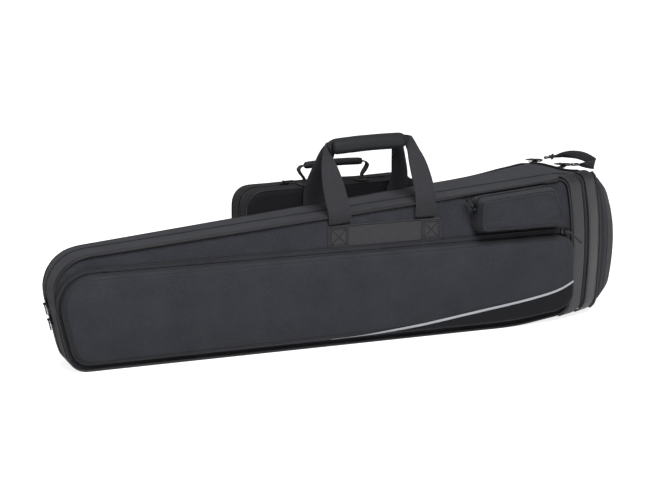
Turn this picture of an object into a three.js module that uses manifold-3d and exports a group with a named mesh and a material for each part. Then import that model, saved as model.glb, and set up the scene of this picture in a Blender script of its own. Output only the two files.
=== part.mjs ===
// Soft trombone case: a zipped clamshell of foam and cloth, wedge shaped, with a domed bell end.
// Millimetres. X runs from the slide end to the bell end, Y from the front lid to the back, Z is up.
// The case stands on its long bottom edge.
import * as THREE from 'three';
import { mergeVertices } from 'three/addons/utils/BufferGeometryUtils.js';
import Module from 'manifold-3d';

const { lerp, clamp, degToRad, smoothstep } = THREE.MathUtils;
const wasm = await Module();
wasm.setup();

// Overall sizes of the case. X is zero near the middle of the carrying handle.
const slideReach = 503.5;
const bellReach = 526.5;
const slideEndHeight = 176.5;
const bellEndHeight = 257;
const slideEndDepth = 76;
const waistDepth = 124;
const lidDepth = 45;
const bellLidDepth = 13;
const wall = 8;
const gap = 0.3;

// Slide end outline
const slideFootInset = 28;
const slideHeadOverhang = 10;
const slideHeadRadius = 62;
const slideFootRadius = 32;

// Bell end, in plan and in front view
const bellFrontRadius = 215;
const bellBackRadius = 92;
const bellTurn = degToRad(50);
const bellCornerRadius = 18;
const bellBackCornerRadius = 60;
const bellBow = 14;
const domeBow = 26;
const footBowShare = 0.5;
const bellBowReach = 80;
const bellLift = 13;
const bellLiftStart = 255;
const bellLiftEnd = 390;
const domeStart = 383;
const domeEase = 12;
const domeSlopeShare = 0.36;
const domeFootShare = 0.15;
const domeFront = 8;
const domeBack = 75;
const bulgeStart = 181;
const bulgeEnd = 404;
const backEdgeRadius = 16;
const bellBackEdgeRadius = 85;
const frontEdgeRadius = 4;
const splitTurnStart = 352;
const splitTurnEnd = 402;

// Zip, hinge, piping and the leather-like bands of the bell end
const zipHalfWidth = 4;
const tapeThickness = 2;
const tapeSink = 1.6;
const coilHalfWidth = 2.2;
const coilRise = 1.4;
const hingeThickness = 2;
const pipingRadius = 2.2;
const lidPipingGap = 0.75;
const pipingSides = 6;
const bandThickness = 3.2;
const lidPipingTurn = degToRad(10.8);
const lidBandStartTurn = degToRad(11.9);
const lidBandEndTurn = degToRad(18.3);
const shellBandStartTurn = degToRad(21.7);
const shellBandEndTurn = degToRad(29);
const shellPipingTurn = degToRad(29.9);
const pipingSlideTurn = degToRad(45);
const pipingBellTurn = degToRad(20);
const pipingCrossStart = 385;
const pipingCrossEnd = 425;

// Derived reference places
const caseLength = slideReach + bellReach;
const slideEndX = -slideReach;
const bellTipX = bellReach;
const bellStartX = bellTipX - bellBackRadius - (bellFrontRadius - bellBackRadius) * Math.sin(bellTurn);
const bellBackX = bellTipX - bellBackRadius;
const bellBackCentreY = bellFrontRadius - (bellFrontRadius - bellBackRadius) * Math.cos(bellTurn);
const bellDepth = bellBackCentreY + bellBackRadius;
const splitSlopeShare = Math.sin(Math.acos(1 - bellLidDepth / bellFrontRadius));

// Large front pocket, its lower panel and the reflective trim
const pocket = {
  leftInset: 6.5,
  right: 371.5,
  bulge: 14.5,
  bulgeStart: 4,
  foot: 9,
  head: 152,
  depth: 16,
  crown: 3,
  sideDraw: 3,
  faceInset: 7,
  roundInset: 13,
  crownInset: 48,
  cloth: 2.2,
  footCorner: 32,
  slideHeadCorner: 50,
  bellHeadCorner: 34,
  clearance: 0.6,
};
const pocketZip = { start: -425, end: 371, width: 6, thick: 2.8 };
const trim = { width: 4, thick: 1.2, clearance: 1.3, startX: -57 };
const trimShares = [
  [0.000, 0.031], [0.098, 0.034], [0.177, 0.044], [0.257, 0.062],
  [0.337, 0.081], [0.417, 0.110], [0.525, 0.154], [0.658, 0.205],
  [0.761, 0.239], [0.860, 0.264], [0.922, 0.287], [0.968, 0.329],
  [0.998, 0.365],
];

// Small upper pouch
const pouch = {
  left: 194,
  right: 352,
  headRight: 328,
  foot: 170,
  headFall: 5.6,
  backDepth: 18,
  frontDepth: 38,
  corner: 9,
  faceInset: 4,
  cloth: 2,
};

// Carrying handle: a sewn strip on the lid, two webbing loops and the padded grip that joins them
const base = { left: -57, right: 139, foot: 158.8, head: 195, thick: 1.6, patchThick: 1.6, patchInset: 1 };
const webbing = { width: 38, gathered: 20, thick: 2.4, leftFoot: -37.5, rightFoot: 109 };
const loop = { pivotDepth: -4.2, pivotHeight: 197, swing: 150 };
const grip = { left: -29, right: 99, depth: 56, leftHeight: 311, rightHeight: 315, radius: 15, clearance: 0.4 };
const rearLoop = { leftFoot: -40, rightFoot: 112, pivotHeight: 200, patchFoot: 160, stand: 2.1, runDepth: 73.6, runInset: 10 };

// Sliders and pullers of the zips
const slider = { width: 9, length: 15, lift: 0.25, plate: 2.8, flange: 1.1, flangeDrop: 1.2, bridge: 1.6 };
const puller = { width: 7, length: 14, thick: 1.6, stand: 0.4, eye: 1.6 };
const cordPuller = { radius: 1.4, length: 22, droop: 0.7, lean: 0.75 };
const ringPuller = { radius: 8, thick: 1.6, hang: 0.6, link: 3 };
const mainUpper = 101;
const mainLower = 76;

// Music bag carried on the back
const bag = {
  left: -162.5,
  right: 162.5,
  centreX: 8.5,
  foot: 4,
  head: 238,
  depth: 70,
  stand: 9,
  corner: 30,
  edge: 7,
  cloth: 2.5,
  crown: 5,
  crownInset: 45,
  seam: 1.2,
};
const bagPad = { halfWidth: 60, height: 30, low: 60, high: 150, thick: 3.9 };
const bagHandle = { lift: 30, radius: 7.5, halfLength: 54, width: 16, thick: 2 };
const bagTab = { width: 20, depth: 24, thick: 1.6, knuckle: 4, knuckleWidth: 8 };

// Haul strap on the top of the bell end
const ringRear = { x: 398, y: 172, stand: 5.9 };
const ringFront = { x: 418, y: 106, stand: 6.9 };
const haul = {
  tabLength: 16,
  tabWidth: 12,
  lowerLeaf: 9,
  leafStand: 0.9,
  tabThick: 1.8,
  wire: 1.6,
  ringWidth: 20,
  ringReach: 12,
  hookRadius: 3,
  reach: 64,
  width: 16,
  thick: 2,
};

// Fitted inside: foam of the shell and the blocks and straps that hold the slide in the lid
const insertSink = 2;
const insertClearance = 1;
const bell = {
  rimX: 412,
  rimRadius: 98,
  depth: 120,
  height: 127,
  tailX: -190,
  tailDepth: 68,
  tailHeight: 112,
  tailRadius: 17,
  capReach: 66,
};
const flareShares = [[0, 0.17], [0.35, 0.19], [0.6, 0.24], [0.7, 0.28], [0.77, 0.35], [0.85, 0.52], [0.91, 0.69],
  [0.96, 0.86], [1, 1]];
const tubeSlot = { left: -190, right: 150, low: 34, high: 62, depth: 26 };
const accessoryWell = { left: -452, right: -232, low: 26, high: 128, depth: 20 };
const cradle = { length: 44, low: 42, high: 150, depth: 25, tubeRadius: 9, tubeLow: 54, tubeHigh: 136, left: -330, right: 170 };
const strap = { width: 25, thick: 1.4, clearance: 0.4 };
const lining = { thick: 2, inset: 13.5 };
const bellStrap = { x: 262, low: 66, high: 190 };

// Finishes
const finishes = {
  cloth: { color: 0x3f4045, roughness: 0.9, metalness: 0 },
  darkCloth: { color: 0x2a2a30, roughness: 0.92, metalness: 0 },
  webbing: { color: 0x3e3e40, roughness: 0.85, metalness: 0 },
  leather: { color: 0x47474a, roughness: 0.45, metalness: 0 },
  piping: { color: 0x35353a, roughness: 0.7, metalness: 0 },
  zipTape: { color: 0x141416, roughness: 0.8, metalness: 0 },
  plush: { color: 0x23232a, roughness: 0.95, metalness: 0 },
  grip: { color: 0x37393d, roughness: 0.75, metalness: 0 },
  reflective: { color: 0xb9bcc4, roughness: 0.4, metalness: 0 },
  metal: { color: 0x4a4a4e, roughness: 0.35, metalness: 0.9 },
  plastic: { color: 0x1c1c1e, roughness: 0.5, metalness: 0 },
  cord: { color: 0x2c2c30, roughness: 0.8, metalness: 0 },
};

function mesh(name, geometry, finish) {
  const made = new THREE.Mesh(geometry, new THREE.MeshStandardMaterial(finishes[finish]));
  made.name = name;
  return made;
}

function smooth(from, to, value) {
  return smoothstep(value, from, to);
}

// Heights, depths and reaches of the case body

function topHeight(x) {
  return lerp(slideEndHeight, bellEndHeight, (x - slideEndX) / caseLength);
}

function bottomLift(x) {
  return bellLift * smooth(bellLiftStart, bellLiftEnd, x);
}

// The top and bottom of the bell end are domed: they fall towards the tip behind the front edge.
function domeDrop(x, depth) {
  const past = Math.max(0, x - domeStart);
  return ((domeSlopeShare * past * past) / (past + domeEase)) * smooth(domeFront, domeBack, depth);
}

function wedgeDepth(x) {
  return lerp(slideEndDepth, waistDepth, (x - slideEndX) / (bulgeStart - slideEndX));
}

function bulgeShare(x) {
  return smooth(bulgeStart, bulgeEnd, x);
}

function backDepth(x) {
  return lerp(wedgeDepth(Math.min(x, bulgeStart)), bellDepth, bulgeShare(x));
}

function backRadius(x) {
  return lerp(backEdgeRadius, bellBackEdgeRadius, bulgeShare(x));
}

// Depth of a line beside the split. Round the bell end the same width takes less depth.
function besideSplit(x, offset) {
  const turned = smooth(splitTurnStart, splitTurnEnd, x);
  return lerp(lidDepth, bellLidDepth, turned) + offset * lerp(1, splitSlopeShare, turned);
}

function frontDepth(x, out = 0) {
  const past = Math.max(0, x - bellStartX);
  const radius = bellFrontRadius + out;
  return bellFrontRadius - Math.sqrt(radius * radius - past * past);
}

// How far along X the rounded bell end reaches at one depth, moved outwards by out.
function endReach(depth, out) {
  const front = bellFrontRadius + out;
  const back = bellBackRadius + out;
  const joinDepth = bellFrontRadius - front * Math.cos(bellTurn);
  if (depth < joinDepth) {
    const rise = bellFrontRadius - depth;
    return bellStartX + Math.sqrt(Math.max(0, front * front - rise * rise));
  }
  const rise = depth - bellBackCentreY;
  return bellBackX + Math.sqrt(Math.max(0, back * back - rise * rise));
}

function turnDepth(turn, out) {
  return bellFrontRadius - (bellFrontRadius + out) * Math.cos(turn);
}

// Outlines in front view. A ring is two chains of equal count, lower then upper, both from the
// middle of the left edge to the middle of the right edge, so any ring can be capped by a ladder.

function filletArc(before, corner, after, radius, steps) {
  const toBefore = before.clone().sub(corner).normalize();
  const toAfter = after.clone().sub(corner).normalize();
  const half = Math.acos(clamp(toBefore.dot(toAfter), -1, 1)) / 2;
  const reach = radius / Math.tan(half);
  const start = corner.clone().addScaledVector(toBefore, reach);
  const bisector = toBefore.clone().add(toAfter).normalize();
  const centre = corner.clone().addScaledVector(bisector, radius / Math.sin(half));
  const spoke = start.clone().sub(centre);
  const cross = toBefore.x * toAfter.y - toBefore.y * toAfter.x;
  const sweep = (Math.PI - 2 * half) * Math.sign(cross) * -1;
  return Array.from({ length: steps + 1 }, (_, k) => {
    return spoke.clone().rotateAround(new THREE.Vector2(), (sweep * k) / steps).add(centre);
  });
}

function chain(left, corners, right, radii, stations, steps, endSteps) {
  const first = filletArc(left, corners[0], corners[1], radii[0], steps);
  const second = filletArc(corners[0], corners[1], right, radii[1], steps);
  const from = first[steps];
  const to = second[0];
  const fixed = stations.fixed.map((x) => from.clone().lerp(to, (x - from.x) / (to.x - from.x)));
  const nearest = fixed.length > 0 ? fixed[fixed.length - 1] : from;
  const free = stations.freeShares.map((share) => nearest.clone().lerp(to, share));
  const last = second[steps];
  const rises = Array.from({ length: endSteps - 1 }, (_, k) => last.clone().lerp(right, (k + 1) / endSteps));
  return [left, ...first, ...fixed, ...free, ...second, ...rises, right];
}

const midStation = { fixed: [], freeShares: [1 / 2] };

function outline({ bl, br, tr, tl, radii, stations = midStation, steps = 4, endSteps = 1 }) {
  const left = bl.clone().lerp(tl, 1 / 2);
  const right = br.clone().lerp(tr, 1 / 2);
  const lower = chain(left, [bl, br], right, [radii.bl, radii.br], stations, steps, endSteps);
  const upper = chain(left, [tl, tr], right, [radii.tl, radii.tr], stations, steps, endSteps);
  return { lower, upper };
}

function ringOf({ lower, upper }, toPoint) {
  const turned = upper.slice(1, -1).reverse();
  return [...lower.map((p, k) => toPoint(p, k)), ...turned.map((p, k) => toPoint(p, upper.length - 2 - k))];
}

const straightShares = [0.13, 0.3, 0.48, 0.66, 0.84, 1];
const bulgeShares = [0.16, 0.32, 0.48, 0.64];
const caseStations = {
  fixed: [
    ...straightShares.map((share) => lerp(slideEndX, bulgeStart, share)),
    ...bulgeShares.map((share) => lerp(bulgeStart, bulgeEnd, share)),
  ],
  freeShares: [1 / 3, 2 / 3],
};
const pipingStations = { fixed: caseStations.fixed, freeShares: [0.15, 0.3, 0.45, 0.6, 0.75, 0.9] };
const cornerSteps = 5;
const caseEndSteps = 3;

// One ring of the case. depthAt gives its depth at each x, out moves it outwards, squeezeAt
// draws its top and bottom together, and cornerShare opens the corners of the bell end.
// reach and tipDepth place its bell end, which otherwise follows the plan curve at that depth.
function caseRing(options) {
  const { depthAt, out = 0, squeezeAt = () => 0, cornerShare = 0, stations = caseStations } = options;
  const tipDepth = options.tipDepth ?? depthAt(bellTipX);
  const right = options.reach ?? endReach(tipDepth, out);
  const endIndex = cornerSteps + 2 + stations.fixed.length + stations.freeShares.length;
  const footX = slideEndX + slideFootInset - out;
  const headX = slideEndX - slideHeadOverhang - out;
  const corner = lerp(bellCornerRadius, bellBackCornerRadius, cornerShare) + out;
  const shape = outline({
    bl: new THREE.Vector2(footX, -out),
    br: new THREE.Vector2(right, -out),
    tr: new THREE.Vector2(right, topHeight(right) + out),
    tl: new THREE.Vector2(headX, topHeight(headX) + out),
    radii: { bl: slideFootRadius + out, br: corner, tr: corner, tl: slideHeadRadius + out },
    stations,
    steps: cornerSteps,
    endSteps: caseEndSteps,
  });
  const bow = lerp(bellBow, domeBow, smooth(domeFront, domeBack, tipDepth));
  return ringOf(shape, (p, index) => {
    const half = topHeight(p.x) / 2;
    const swing = (p.y - half) / half;
    const pull = clamp((p.x - right + bellBowReach) / bellBowReach, 0, 1);
    const x = p.x - bow * (swing < 0 ? footBowShare : 1) * swing * swing * pull;
    const lift = bottomLift(x);
    const share = p.y / topHeight(p.x);
    const depth = index >= endIndex ? tipDepth : depthAt(x);
    const drop = domeDrop(x, depth);
    const top = topHeight(p.x) - squeezeAt(x) - drop;
    const foot = lift + squeezeAt(x) + drop * domeFootShare;
    return new THREE.Vector3(x, depth, lerp(foot, top, share));
  });
}

// Meshes from rings

function closedGeometry(points, faces) {
  let volume = 0;
  for (const [a, b, c] of faces) {
    volume += points[a].dot(points[b].clone().cross(points[c]));
  }
  const turned = volume < 0 ? faces.map(([a, b, c]) => [a, c, b]) : faces;
  const geometry = new THREE.BufferGeometry();
  geometry.setAttribute('position', new THREE.Float32BufferAttribute(points.flatMap((p) => [p.x, p.y, p.z]), 3));
  geometry.setIndex(turned.flat());
  return geometry;
}

function ladder(offset, count, flip) {
  const half = count / 2;
  const faces = [];
  for (let k = 0; k < half; k += 1) {
    const low = offset + k;
    const high = offset + ((count - k) % count);
    const nextLow = offset + k + 1;
    const nextHigh = offset + count - k - 1;
    if (k > 0) faces.push([low, nextLow, high]);
    if (k === 0) faces.push([low, nextLow, nextHigh]);
    else if (k < half - 1) faces.push([high, nextLow, nextHigh]);
  }
  return flip ? faces.map(([a, b, c]) => [a, c, b]) : faces;
}

function fan(offset, count, flip) {
  const faces = [];
  for (let k = 1; k < count - 1; k += 1) {
    faces.push(flip ? [offset, offset + k + 1, offset + k] : [offset, offset + k, offset + k + 1]);
  }
  return faces;
}

function loft(rings, closed = false, cap = ladder) {
  const count = rings[0].length;
  const faces = [];
  const last = closed ? rings.length : rings.length - 1;
  for (let r = 0; r < last; r += 1) {
    const here = r * count;
    const next = ((r + 1) % rings.length) * count;
    for (let k = 0; k < count; k += 1) {
      const side = (k + 1) % count;
      faces.push([here + k, here + side, next + side]);
      faces.push([here + k, next + side, next + k]);
    }
  }
  if (!closed) {
    faces.push(...cap(0, count, true));
    faces.push(...cap((rings.length - 1) * count, count, false));
  }
  return closedGeometry(rings.flat(), faces);
}

// A tray open at its rim: outer rings from rim to floor, inner rings from floor to rim.
function tray(outer, inner) {
  return loft([...outer.slice().reverse(), ...inner]);
}

function frames(points, closed) {
  const tangents = points.map((p, k) => {
    const before = points[closed ? (k + points.length - 1) % points.length : Math.max(0, k - 1)];
    const after = points[closed ? (k + 1) % points.length : Math.min(points.length - 1, k + 1)];
    return after.clone().sub(before).normalize();
  });
  const start = Math.abs(tangents[0].y) < 1 / 2 ? new THREE.Vector3(0, 1, 0) : new THREE.Vector3(0, 0, 1);
  let side = start.clone().addScaledVector(tangents[0], -start.dot(tangents[0])).normalize();
  return tangents.map((tangent) => {
    side = side.clone().addScaledVector(tangent, -side.dot(tangent)).normalize();
    return { tangent, side, up: tangent.clone().cross(side) };
  });
}

function tube(points, radius, sides, closed = false) {
  const around = frames(points, closed);
  const rings = points.map((p, k) => {
    return Array.from({ length: sides }, (_, s) => {
      const angle = (2 * Math.PI * s) / sides;
      const ring = p.clone().addScaledVector(around[k].side, radius * Math.cos(angle));
      return ring.addScaledVector(around[k].up, radius * Math.sin(angle));
    });
  });
  return loft(rings, closed);
}

// Flat webbing along a path: each stop has a place, a width, a thickness and a width direction.
function ribbon(stops) {
  const points = stops.map((stop) => stop.at);
  const around = frames(points, false);
  const rings = stops.map((stop, k) => {
    const across = stop.across.clone().addScaledVector(around[k].tangent, -stop.across.dot(around[k].tangent));
    across.normalize();
    const normal = around[k].tangent.clone().cross(across).normalize();
    const w = stop.width / 2;
    const t = stop.thick / 2;
    return [[-w, -t], [w, -t], [w, t], [-w, t]].map(([a, b]) => {
      return stop.at.clone().addScaledVector(across, a).addScaledVector(normal, b);
    });
  });
  return loft(rings);
}

// Booleans on closed meshes

function solid(geometry) {
  const bare = geometry.clone();
  bare.deleteAttribute('normal');
  bare.deleteAttribute('uv');
  const merged = mergeVertices(bare);
  return new wasm.Manifold(new wasm.Mesh({
    numProp: 3,
    vertProperties: new Float32Array(merged.attributes.position.array),
    triVerts: new Uint32Array(merged.index.array),
  }));
}

function geometryOf(body) {
  const made = body.getMesh();
  const geometry = new THREE.BufferGeometry();
  geometry.setAttribute('position', new THREE.BufferAttribute(new Float32Array(made.vertProperties), 3));
  geometry.setIndex(new THREE.BufferAttribute(new Uint32Array(made.triVerts), 1));
  return geometry;
}

// A strip laid along the case outline: rings are the corners of its section, and it runs over the
// ring's points from first to last.
function strip(rings, first, last, cap = ladder) {
  const count = rings[0].length;
  const sections = Array.from({ length: last - first + 1 }, (_, k) => rings.map((ring) => ring[(first + k) % count]));
  return loft(sections, false, cap);
}

function at(x, y, z) {
  return new THREE.Vector3(x, y, z);
}

// A flat shape drawn across two directions and given a thickness along the third.
const plateSteps = 3;

function plate(shape, thick, { origin, right, up }) {
  const made = new THREE.ExtrudeGeometry(shape, { depth: thick, bevelEnabled: false, curveSegments: plateSteps });
  made.applyMatrix4(new THREE.Matrix4().makeBasis(right, up, right.clone().cross(up)).setPosition(origin));
  return made;
}

function roundedShape(width, height, radius) {
  const w = width / 2;
  const h = height / 2;
  const shape = new THREE.Shape();
  shape.absarc(w - radius, h - radius, radius, 0, Math.PI / 2);
  shape.absarc(radius - w, h - radius, radius, Math.PI / 2, Math.PI);
  shape.absarc(radius - w, radius - h, radius, Math.PI, 1.5 * Math.PI);
  shape.absarc(w - radius, radius - h, radius, 1.5 * Math.PI, 2 * Math.PI);
  shape.closePath();
  return shape;
}

function block(from, to) {
  const size = to.clone().sub(from);
  const centre = from.clone().add(to).divideScalar(2);
  return new THREE.BoxGeometry(size.x, size.y, size.z).translate(centre.x, centre.y, centre.z);
}

function rod(from, to, radius, sides = 8) {
  const along = to.clone().sub(from);
  const made = new THREE.CylinderGeometry(radius, radius, along.length(), sides);
  made.applyQuaternion(new THREE.Quaternion().setFromUnitVectors(at(0, 1, 0), along.clone().normalize()));
  return made.translate((from.x + to.x) / 2, (from.y + to.y) / 2, (from.z + to.z) / 2);
}

function joined(geometries) {
  return geometryOf(geometries.map(solid).reduce((all, next) => all.add(next)));
}

function cut(geometry, tools) {
  return geometryOf(tools.map(solid).reduce((left, tool) => left.subtract(tool), solid(geometry)));
}

const alongX = at(1, 0, 0);
const alongY = at(0, 1, 0);
const alongZ = at(0, 0, 1);

// The two halves of the body

const sideShares = [0, 0.25, 0.5, 0.75, 1];
const backTurns = [1, 2, 3, 4].map((k) => (k * Math.PI) / 8);

function shellRings(out, rimDepthAt) {
  const sides = sideShares.map((share) => caseRing({
    depthAt: (x) => lerp(rimDepthAt(x), backDepth(x) - backRadius(x), share),
    out,
    cornerShare: share / 2,
  }));
  const turns = backTurns.map((turn) => {
    const fall = 1 - Math.cos(turn);
    const edge = backEdgeRadius + out;
    return caseRing({
      depthAt: (x) => backDepth(x) + out - (backRadius(x) + out) * (1 - Math.sin(turn)),
      out: out - edge * fall,
      squeezeAt: (x) => (backRadius(x) - backEdgeRadius) * fall,
      cornerShare: lerp(1 / 2, 1, fall),
    });
  });
  return [...sides, ...turns];
}

const lidShares = [1, 0.55, 0.2, 0];

function lidRings(out, rimDepthAt) {
  const start = frontEdgeRadius - out;
  const sides = lidShares.map((share) => caseRing({
    depthAt: (x) => lerp(start, rimDepthAt(x), share),
    out,
  }));
  const fall = frontEdgeRadius * (1 - Math.SQRT1_2);
  const edgeDepth = fall - out;
  const edge = caseRing({ depthAt: () => edgeDepth, out: out - fall, reach: endReach(edgeDepth, out) });
  const face = caseRing({ depthAt: () => -out, out: out - frontEdgeRadius, reach: bellStartX });
  return [...sides, edge, face];
}

// The zip tape lies against the outer part of a rim, so each rim has a ring at each face of the tape.
function rimRings(rim) {
  return [-tapeSink, -tapeSink - tapeThickness].map((out) => caseRing({ depthAt: rim, out }));
}

function makeLid() {
  const rim = (x) => besideSplit(x, -zipHalfWidth);
  return mesh('lid', tray(lidRings(0, rim), [...rimRings(rim), ...lidRings(-wall, rim)]), 'cloth');
}

function makeShell() {
  const rim = (x) => besideSplit(x, zipHalfWidth);
  return mesh('shell', tray(shellRings(0, rim), [...rimRings(rim), ...shellRings(-wall, rim)]), 'cloth');
}

// Zip, hinge, piping and bands. In every ring the foot corner of the slide end comes first, then
// the stations of the bottom, the bell end, the top and the slide end.

const footStart = cornerSteps + 1;
const zipStart = footStart + caseStations.fixed.length;
const bellFoot = zipStart + 1 + caseStations.freeShares.length;

function makeZipTape(name, side) {
  const edge = zipHalfWidth - 1.6 * gap / splitSlopeShare;
  const middle = gap / splitSlopeShare / 2;
  const line = (offset, out) => caseRing({ depthAt: (x) => besideSplit(x, side * offset), out });
  const rings = [
    line(coilHalfWidth, -tapeSink),
    line(coilHalfWidth, coilRise - tapeSink),
    line(middle, coilRise - tapeSink),
    line(middle, -tapeSink - tapeThickness),
    line(edge, -tapeSink - tapeThickness),
    line(edge, -tapeSink),
  ];
  return mesh(name, strip(rings, zipStart, rings[0].length + footStart, fan), 'zipTape');
}

function makeHingeStrip() {
  const half = zipHalfWidth - gap;
  const line = caseRing({ depthAt: () => lidDepth }).slice(footStart, zipStart + 1);
  line[0].x += hingeThickness;
  line[line.length - 1].x -= gap;
  const sections = line.map((p) => [
    at(p.x, p.y - half, p.z),
    at(p.x, p.y + half, p.z),
    at(p.x, p.y + half, p.z + hingeThickness),
    at(p.x, p.y - half, p.z + hingeThickness),
  ]);
  return mesh('hinge_strip', loft(sections), 'darkCloth');
}

function makeLidPiping() {
  const out = pipingRadius + lidPipingGap;
  const sink = frontEdgeRadius * (1 - Math.SQRT1_2);
  const path = caseRing({
    depthAt: (x) => frontDepth(x, out),
    out: -pipingRadius + lidPipingGap - sink / 2,
    tipDepth: turnDepth(lidPipingTurn, out),
    reach: bellStartX + (bellFrontRadius + out) * Math.sin(lidPipingTurn),
    stations: pipingStations,
  });
  return mesh('lid_piping', tube(path, pipingRadius, pipingSides, true), 'piping');
}

// The piping of the shell follows the rounded rear edge, then crosses the top to the bell end.
function makeShellPiping() {
  const out = pipingRadius + gap;
  const tipDepth = turnDepth(shellPipingTurn, out);
  const base = backEdgeRadius - (backEdgeRadius + out) * Math.cos(pipingSlideTurn);
  const cross = (x) => smooth(pipingCrossStart, pipingCrossEnd, x);
  const turnAt = (x) => lerp(pipingSlideTurn, pipingBellTurn, bulgeShare(x)) * (1 - clamp(2 * cross(x), 0, 1));
  const path = caseRing({
    depthAt: (x) => {
      const radius = backRadius(x);
      const rear = backDepth(x) - radius + (radius + out) * Math.sin(turnAt(x));
      return lerp(rear, tipDepth, cross(x));
    },
    out: -base,
    squeezeAt: (x) => backRadius(x) - (backRadius(x) + out) * Math.cos(turnAt(x)) - base,
    tipDepth,
    reach: bellStartX + (bellFrontRadius + out) * Math.sin(shellPipingTurn),
    stations: pipingStations,
  });
  const first = footStart + 1 + pipingStations.fixed.length + pipingStations.freeShares.length;
  const run = path.length - first + footStart + pipingStations.fixed.length;
  const points = Array.from({ length: run }, (_, k) => path[(first + k) % path.length]);
  return mesh('shell_piping', tube(points, pipingRadius, pipingSides), 'piping');
}

function makeBand(name, startTurn, endTurn) {
  const turns = [0, 1 / 3, 2 / 3, 1].map((share) => lerp(startTurn, endTurn, share));
  const ringAt = (turn, out) => caseRing({
    depthAt: () => turnDepth(turn, out),
    out,
    reach: bellStartX + (bellFrontRadius + out) * Math.sin(turn),
  });
  const outer = turns.map((turn) => ringAt(turn, gap + bandThickness));
  const inner = turns.map((turn) => ringAt(turn, gap)).reverse();
  const rings = [...outer, ...inner];
  return mesh(name, strip(rings, bellFoot, rings[0].length - bellFoot), 'leather');
}

// Slide end: the straight edge on which the main sliders run

const footX = slideEndX + slideFootInset;
const headX = slideEndX - slideHeadOverhang;

function slideEdgeX(z) {
  return lerp(footX, headX, z / topHeight(headX));
}

const edgeAlong = at(headX - footX, 0, topHeight(headX)).normalize();
const edgeOut = at(-edgeAlong.z, 0, edgeAlong.x);

// Sliders and pullers are built with Z along the zip, Y across it and -X outwards.
function onZip(geometry, place, out, along) {
  const across = along.clone().cross(out.clone().negate());
  geometry.applyMatrix4(new THREE.Matrix4().makeBasis(out.clone().negate(), across, along).setPosition(place));
  return geometry;
}

function sliderGeometry(flanged) {
  const half = slider.width / 2;
  const length = slider.length / 2;
  const low = -slider.lift;
  const high = low - slider.plate;
  const body = block(at(high, -half, -length), at(low, half, length));
  const edge = coilHalfWidth + gap;
  const flange = block(
    at(low - gap, edge, -length + slider.flange),
    at(slider.flangeDrop, edge + slider.flange, length - slider.flange),
  );
  const ears = [-1, 1].map((side) => {
    const edge = side * (puller.eye + gap + slider.bridge / 2);
    const reach = high - puller.stand - 2 * puller.eye;
    const from = at(reach, edge - slider.bridge / 2, -puller.eye);
    return block(from, at(high + gap, edge + slider.bridge / 2, puller.eye));
  });
  return joined(flanged ? [body, flange, ...ears] : [body, ...ears]);
}

const pullerOut = slider.lift + slider.plate + puller.stand + puller.eye;

function pullerGeometry() {
  const neck = puller.eye * 1.8;
  const tab = roundedShape(puller.length, puller.width, puller.width / 3);
  tab.holes.push(new THREE.Path().absarc(-puller.length / 4, 0, puller.width / 4, 0, 2 * Math.PI, true));
  const far = puller.length / 2 + puller.eye * 2;
  const frame = { origin: at(puller.thick / 2, 0, -far), right: alongZ, up: alongY };
  const face = plate(tab, puller.thick, frame);
  const hub = rod(at(0, -puller.eye, 0), at(0, puller.eye, 0), puller.eye);
  const link = block(at(-puller.thick / 2, -neck / 2, -far + puller.length / 3), at(puller.thick / 2, neck / 2, 0));
  return joined([face, hub, link]);
}

function cordPullerGeometry(droop) {
  const toward = at(0, Math.sin(droop), -Math.cos(droop));
  const bend = at(0, 0, -puller.eye * 4);
  const end = bend.clone().addScaledVector(toward, cordPuller.length);
  const hub = rod(at(0, -puller.eye, 0), at(0, puller.eye, 0), puller.eye);
  const straight = rod(at(0, 0, 0), bend.clone().addScaledVector(toward, cordPuller.radius / 2), cordPuller.radius);
  const cord = rod(bend, end, cordPuller.radius);
  const tip = rod(end, end.clone().addScaledVector(toward, cordPuller.length * 0.3), cordPuller.radius * 1.5);
  return joined([hub, straight, cord, tip]);
}

function ringPullerGeometry() {
  const hub = rod(at(0, -puller.eye, 0), at(0, puller.eye, 0), puller.eye);
  const ring = new THREE.TorusGeometry(ringPuller.radius, ringPuller.thick, 6, 16);
  ring.rotateY(Math.PI / 2);
  ring.translate(0, 0, -ringPuller.radius - ringPuller.thick / 2 - ringPuller.link);
  const link = block(at(-puller.thick / 2, -puller.eye, -ringPuller.link - gap), at(puller.thick / 2, puller.eye, 0));
  return joined([hub, link, ring]);
}

const zipPulls = { tab: pullerGeometry, cord: cordPullerGeometry, ring: ringPullerGeometry };

function sliderPair(name, pullerName, { place, out, along, kind, hang = 0, aside = 0, flanged = false }) {
  const body = mesh(name, onZip(sliderGeometry(flanged), place, out, along), 'metal');
  const pivot = place.clone().addScaledVector(out, pullerOut);
  const across = along.clone().cross(out.clone().negate());
  const turned = zipPulls[kind](aside).rotateY(hang);
  const tag = mesh(pullerName, onZip(turned, pivot, out, along), kind === 'tab' ? 'metal' : 'cord');
  tag.userData.pivot = pivot;
  tag.userData.axis = across;
  body.userData.axis = along;
  return [body, tag];
}

function makeMainSliders() {
  return [['upper', mainUpper], ['lower', mainLower]].flatMap(([end, height]) => {
    const place = at(slideEdgeX(height), lidDepth, height);
    const names = [`main_slider_${end}`, `main_puller_${end}`];
    return sliderPair(...names, { place, out: edgeOut, along: edgeAlong, kind: 'tab', flanged: true });
  });
}

// Front pocket

function pocketHeight(x, z) {
  return z + bottomLift(x) * (1 - z / pocket.head);
}

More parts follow.
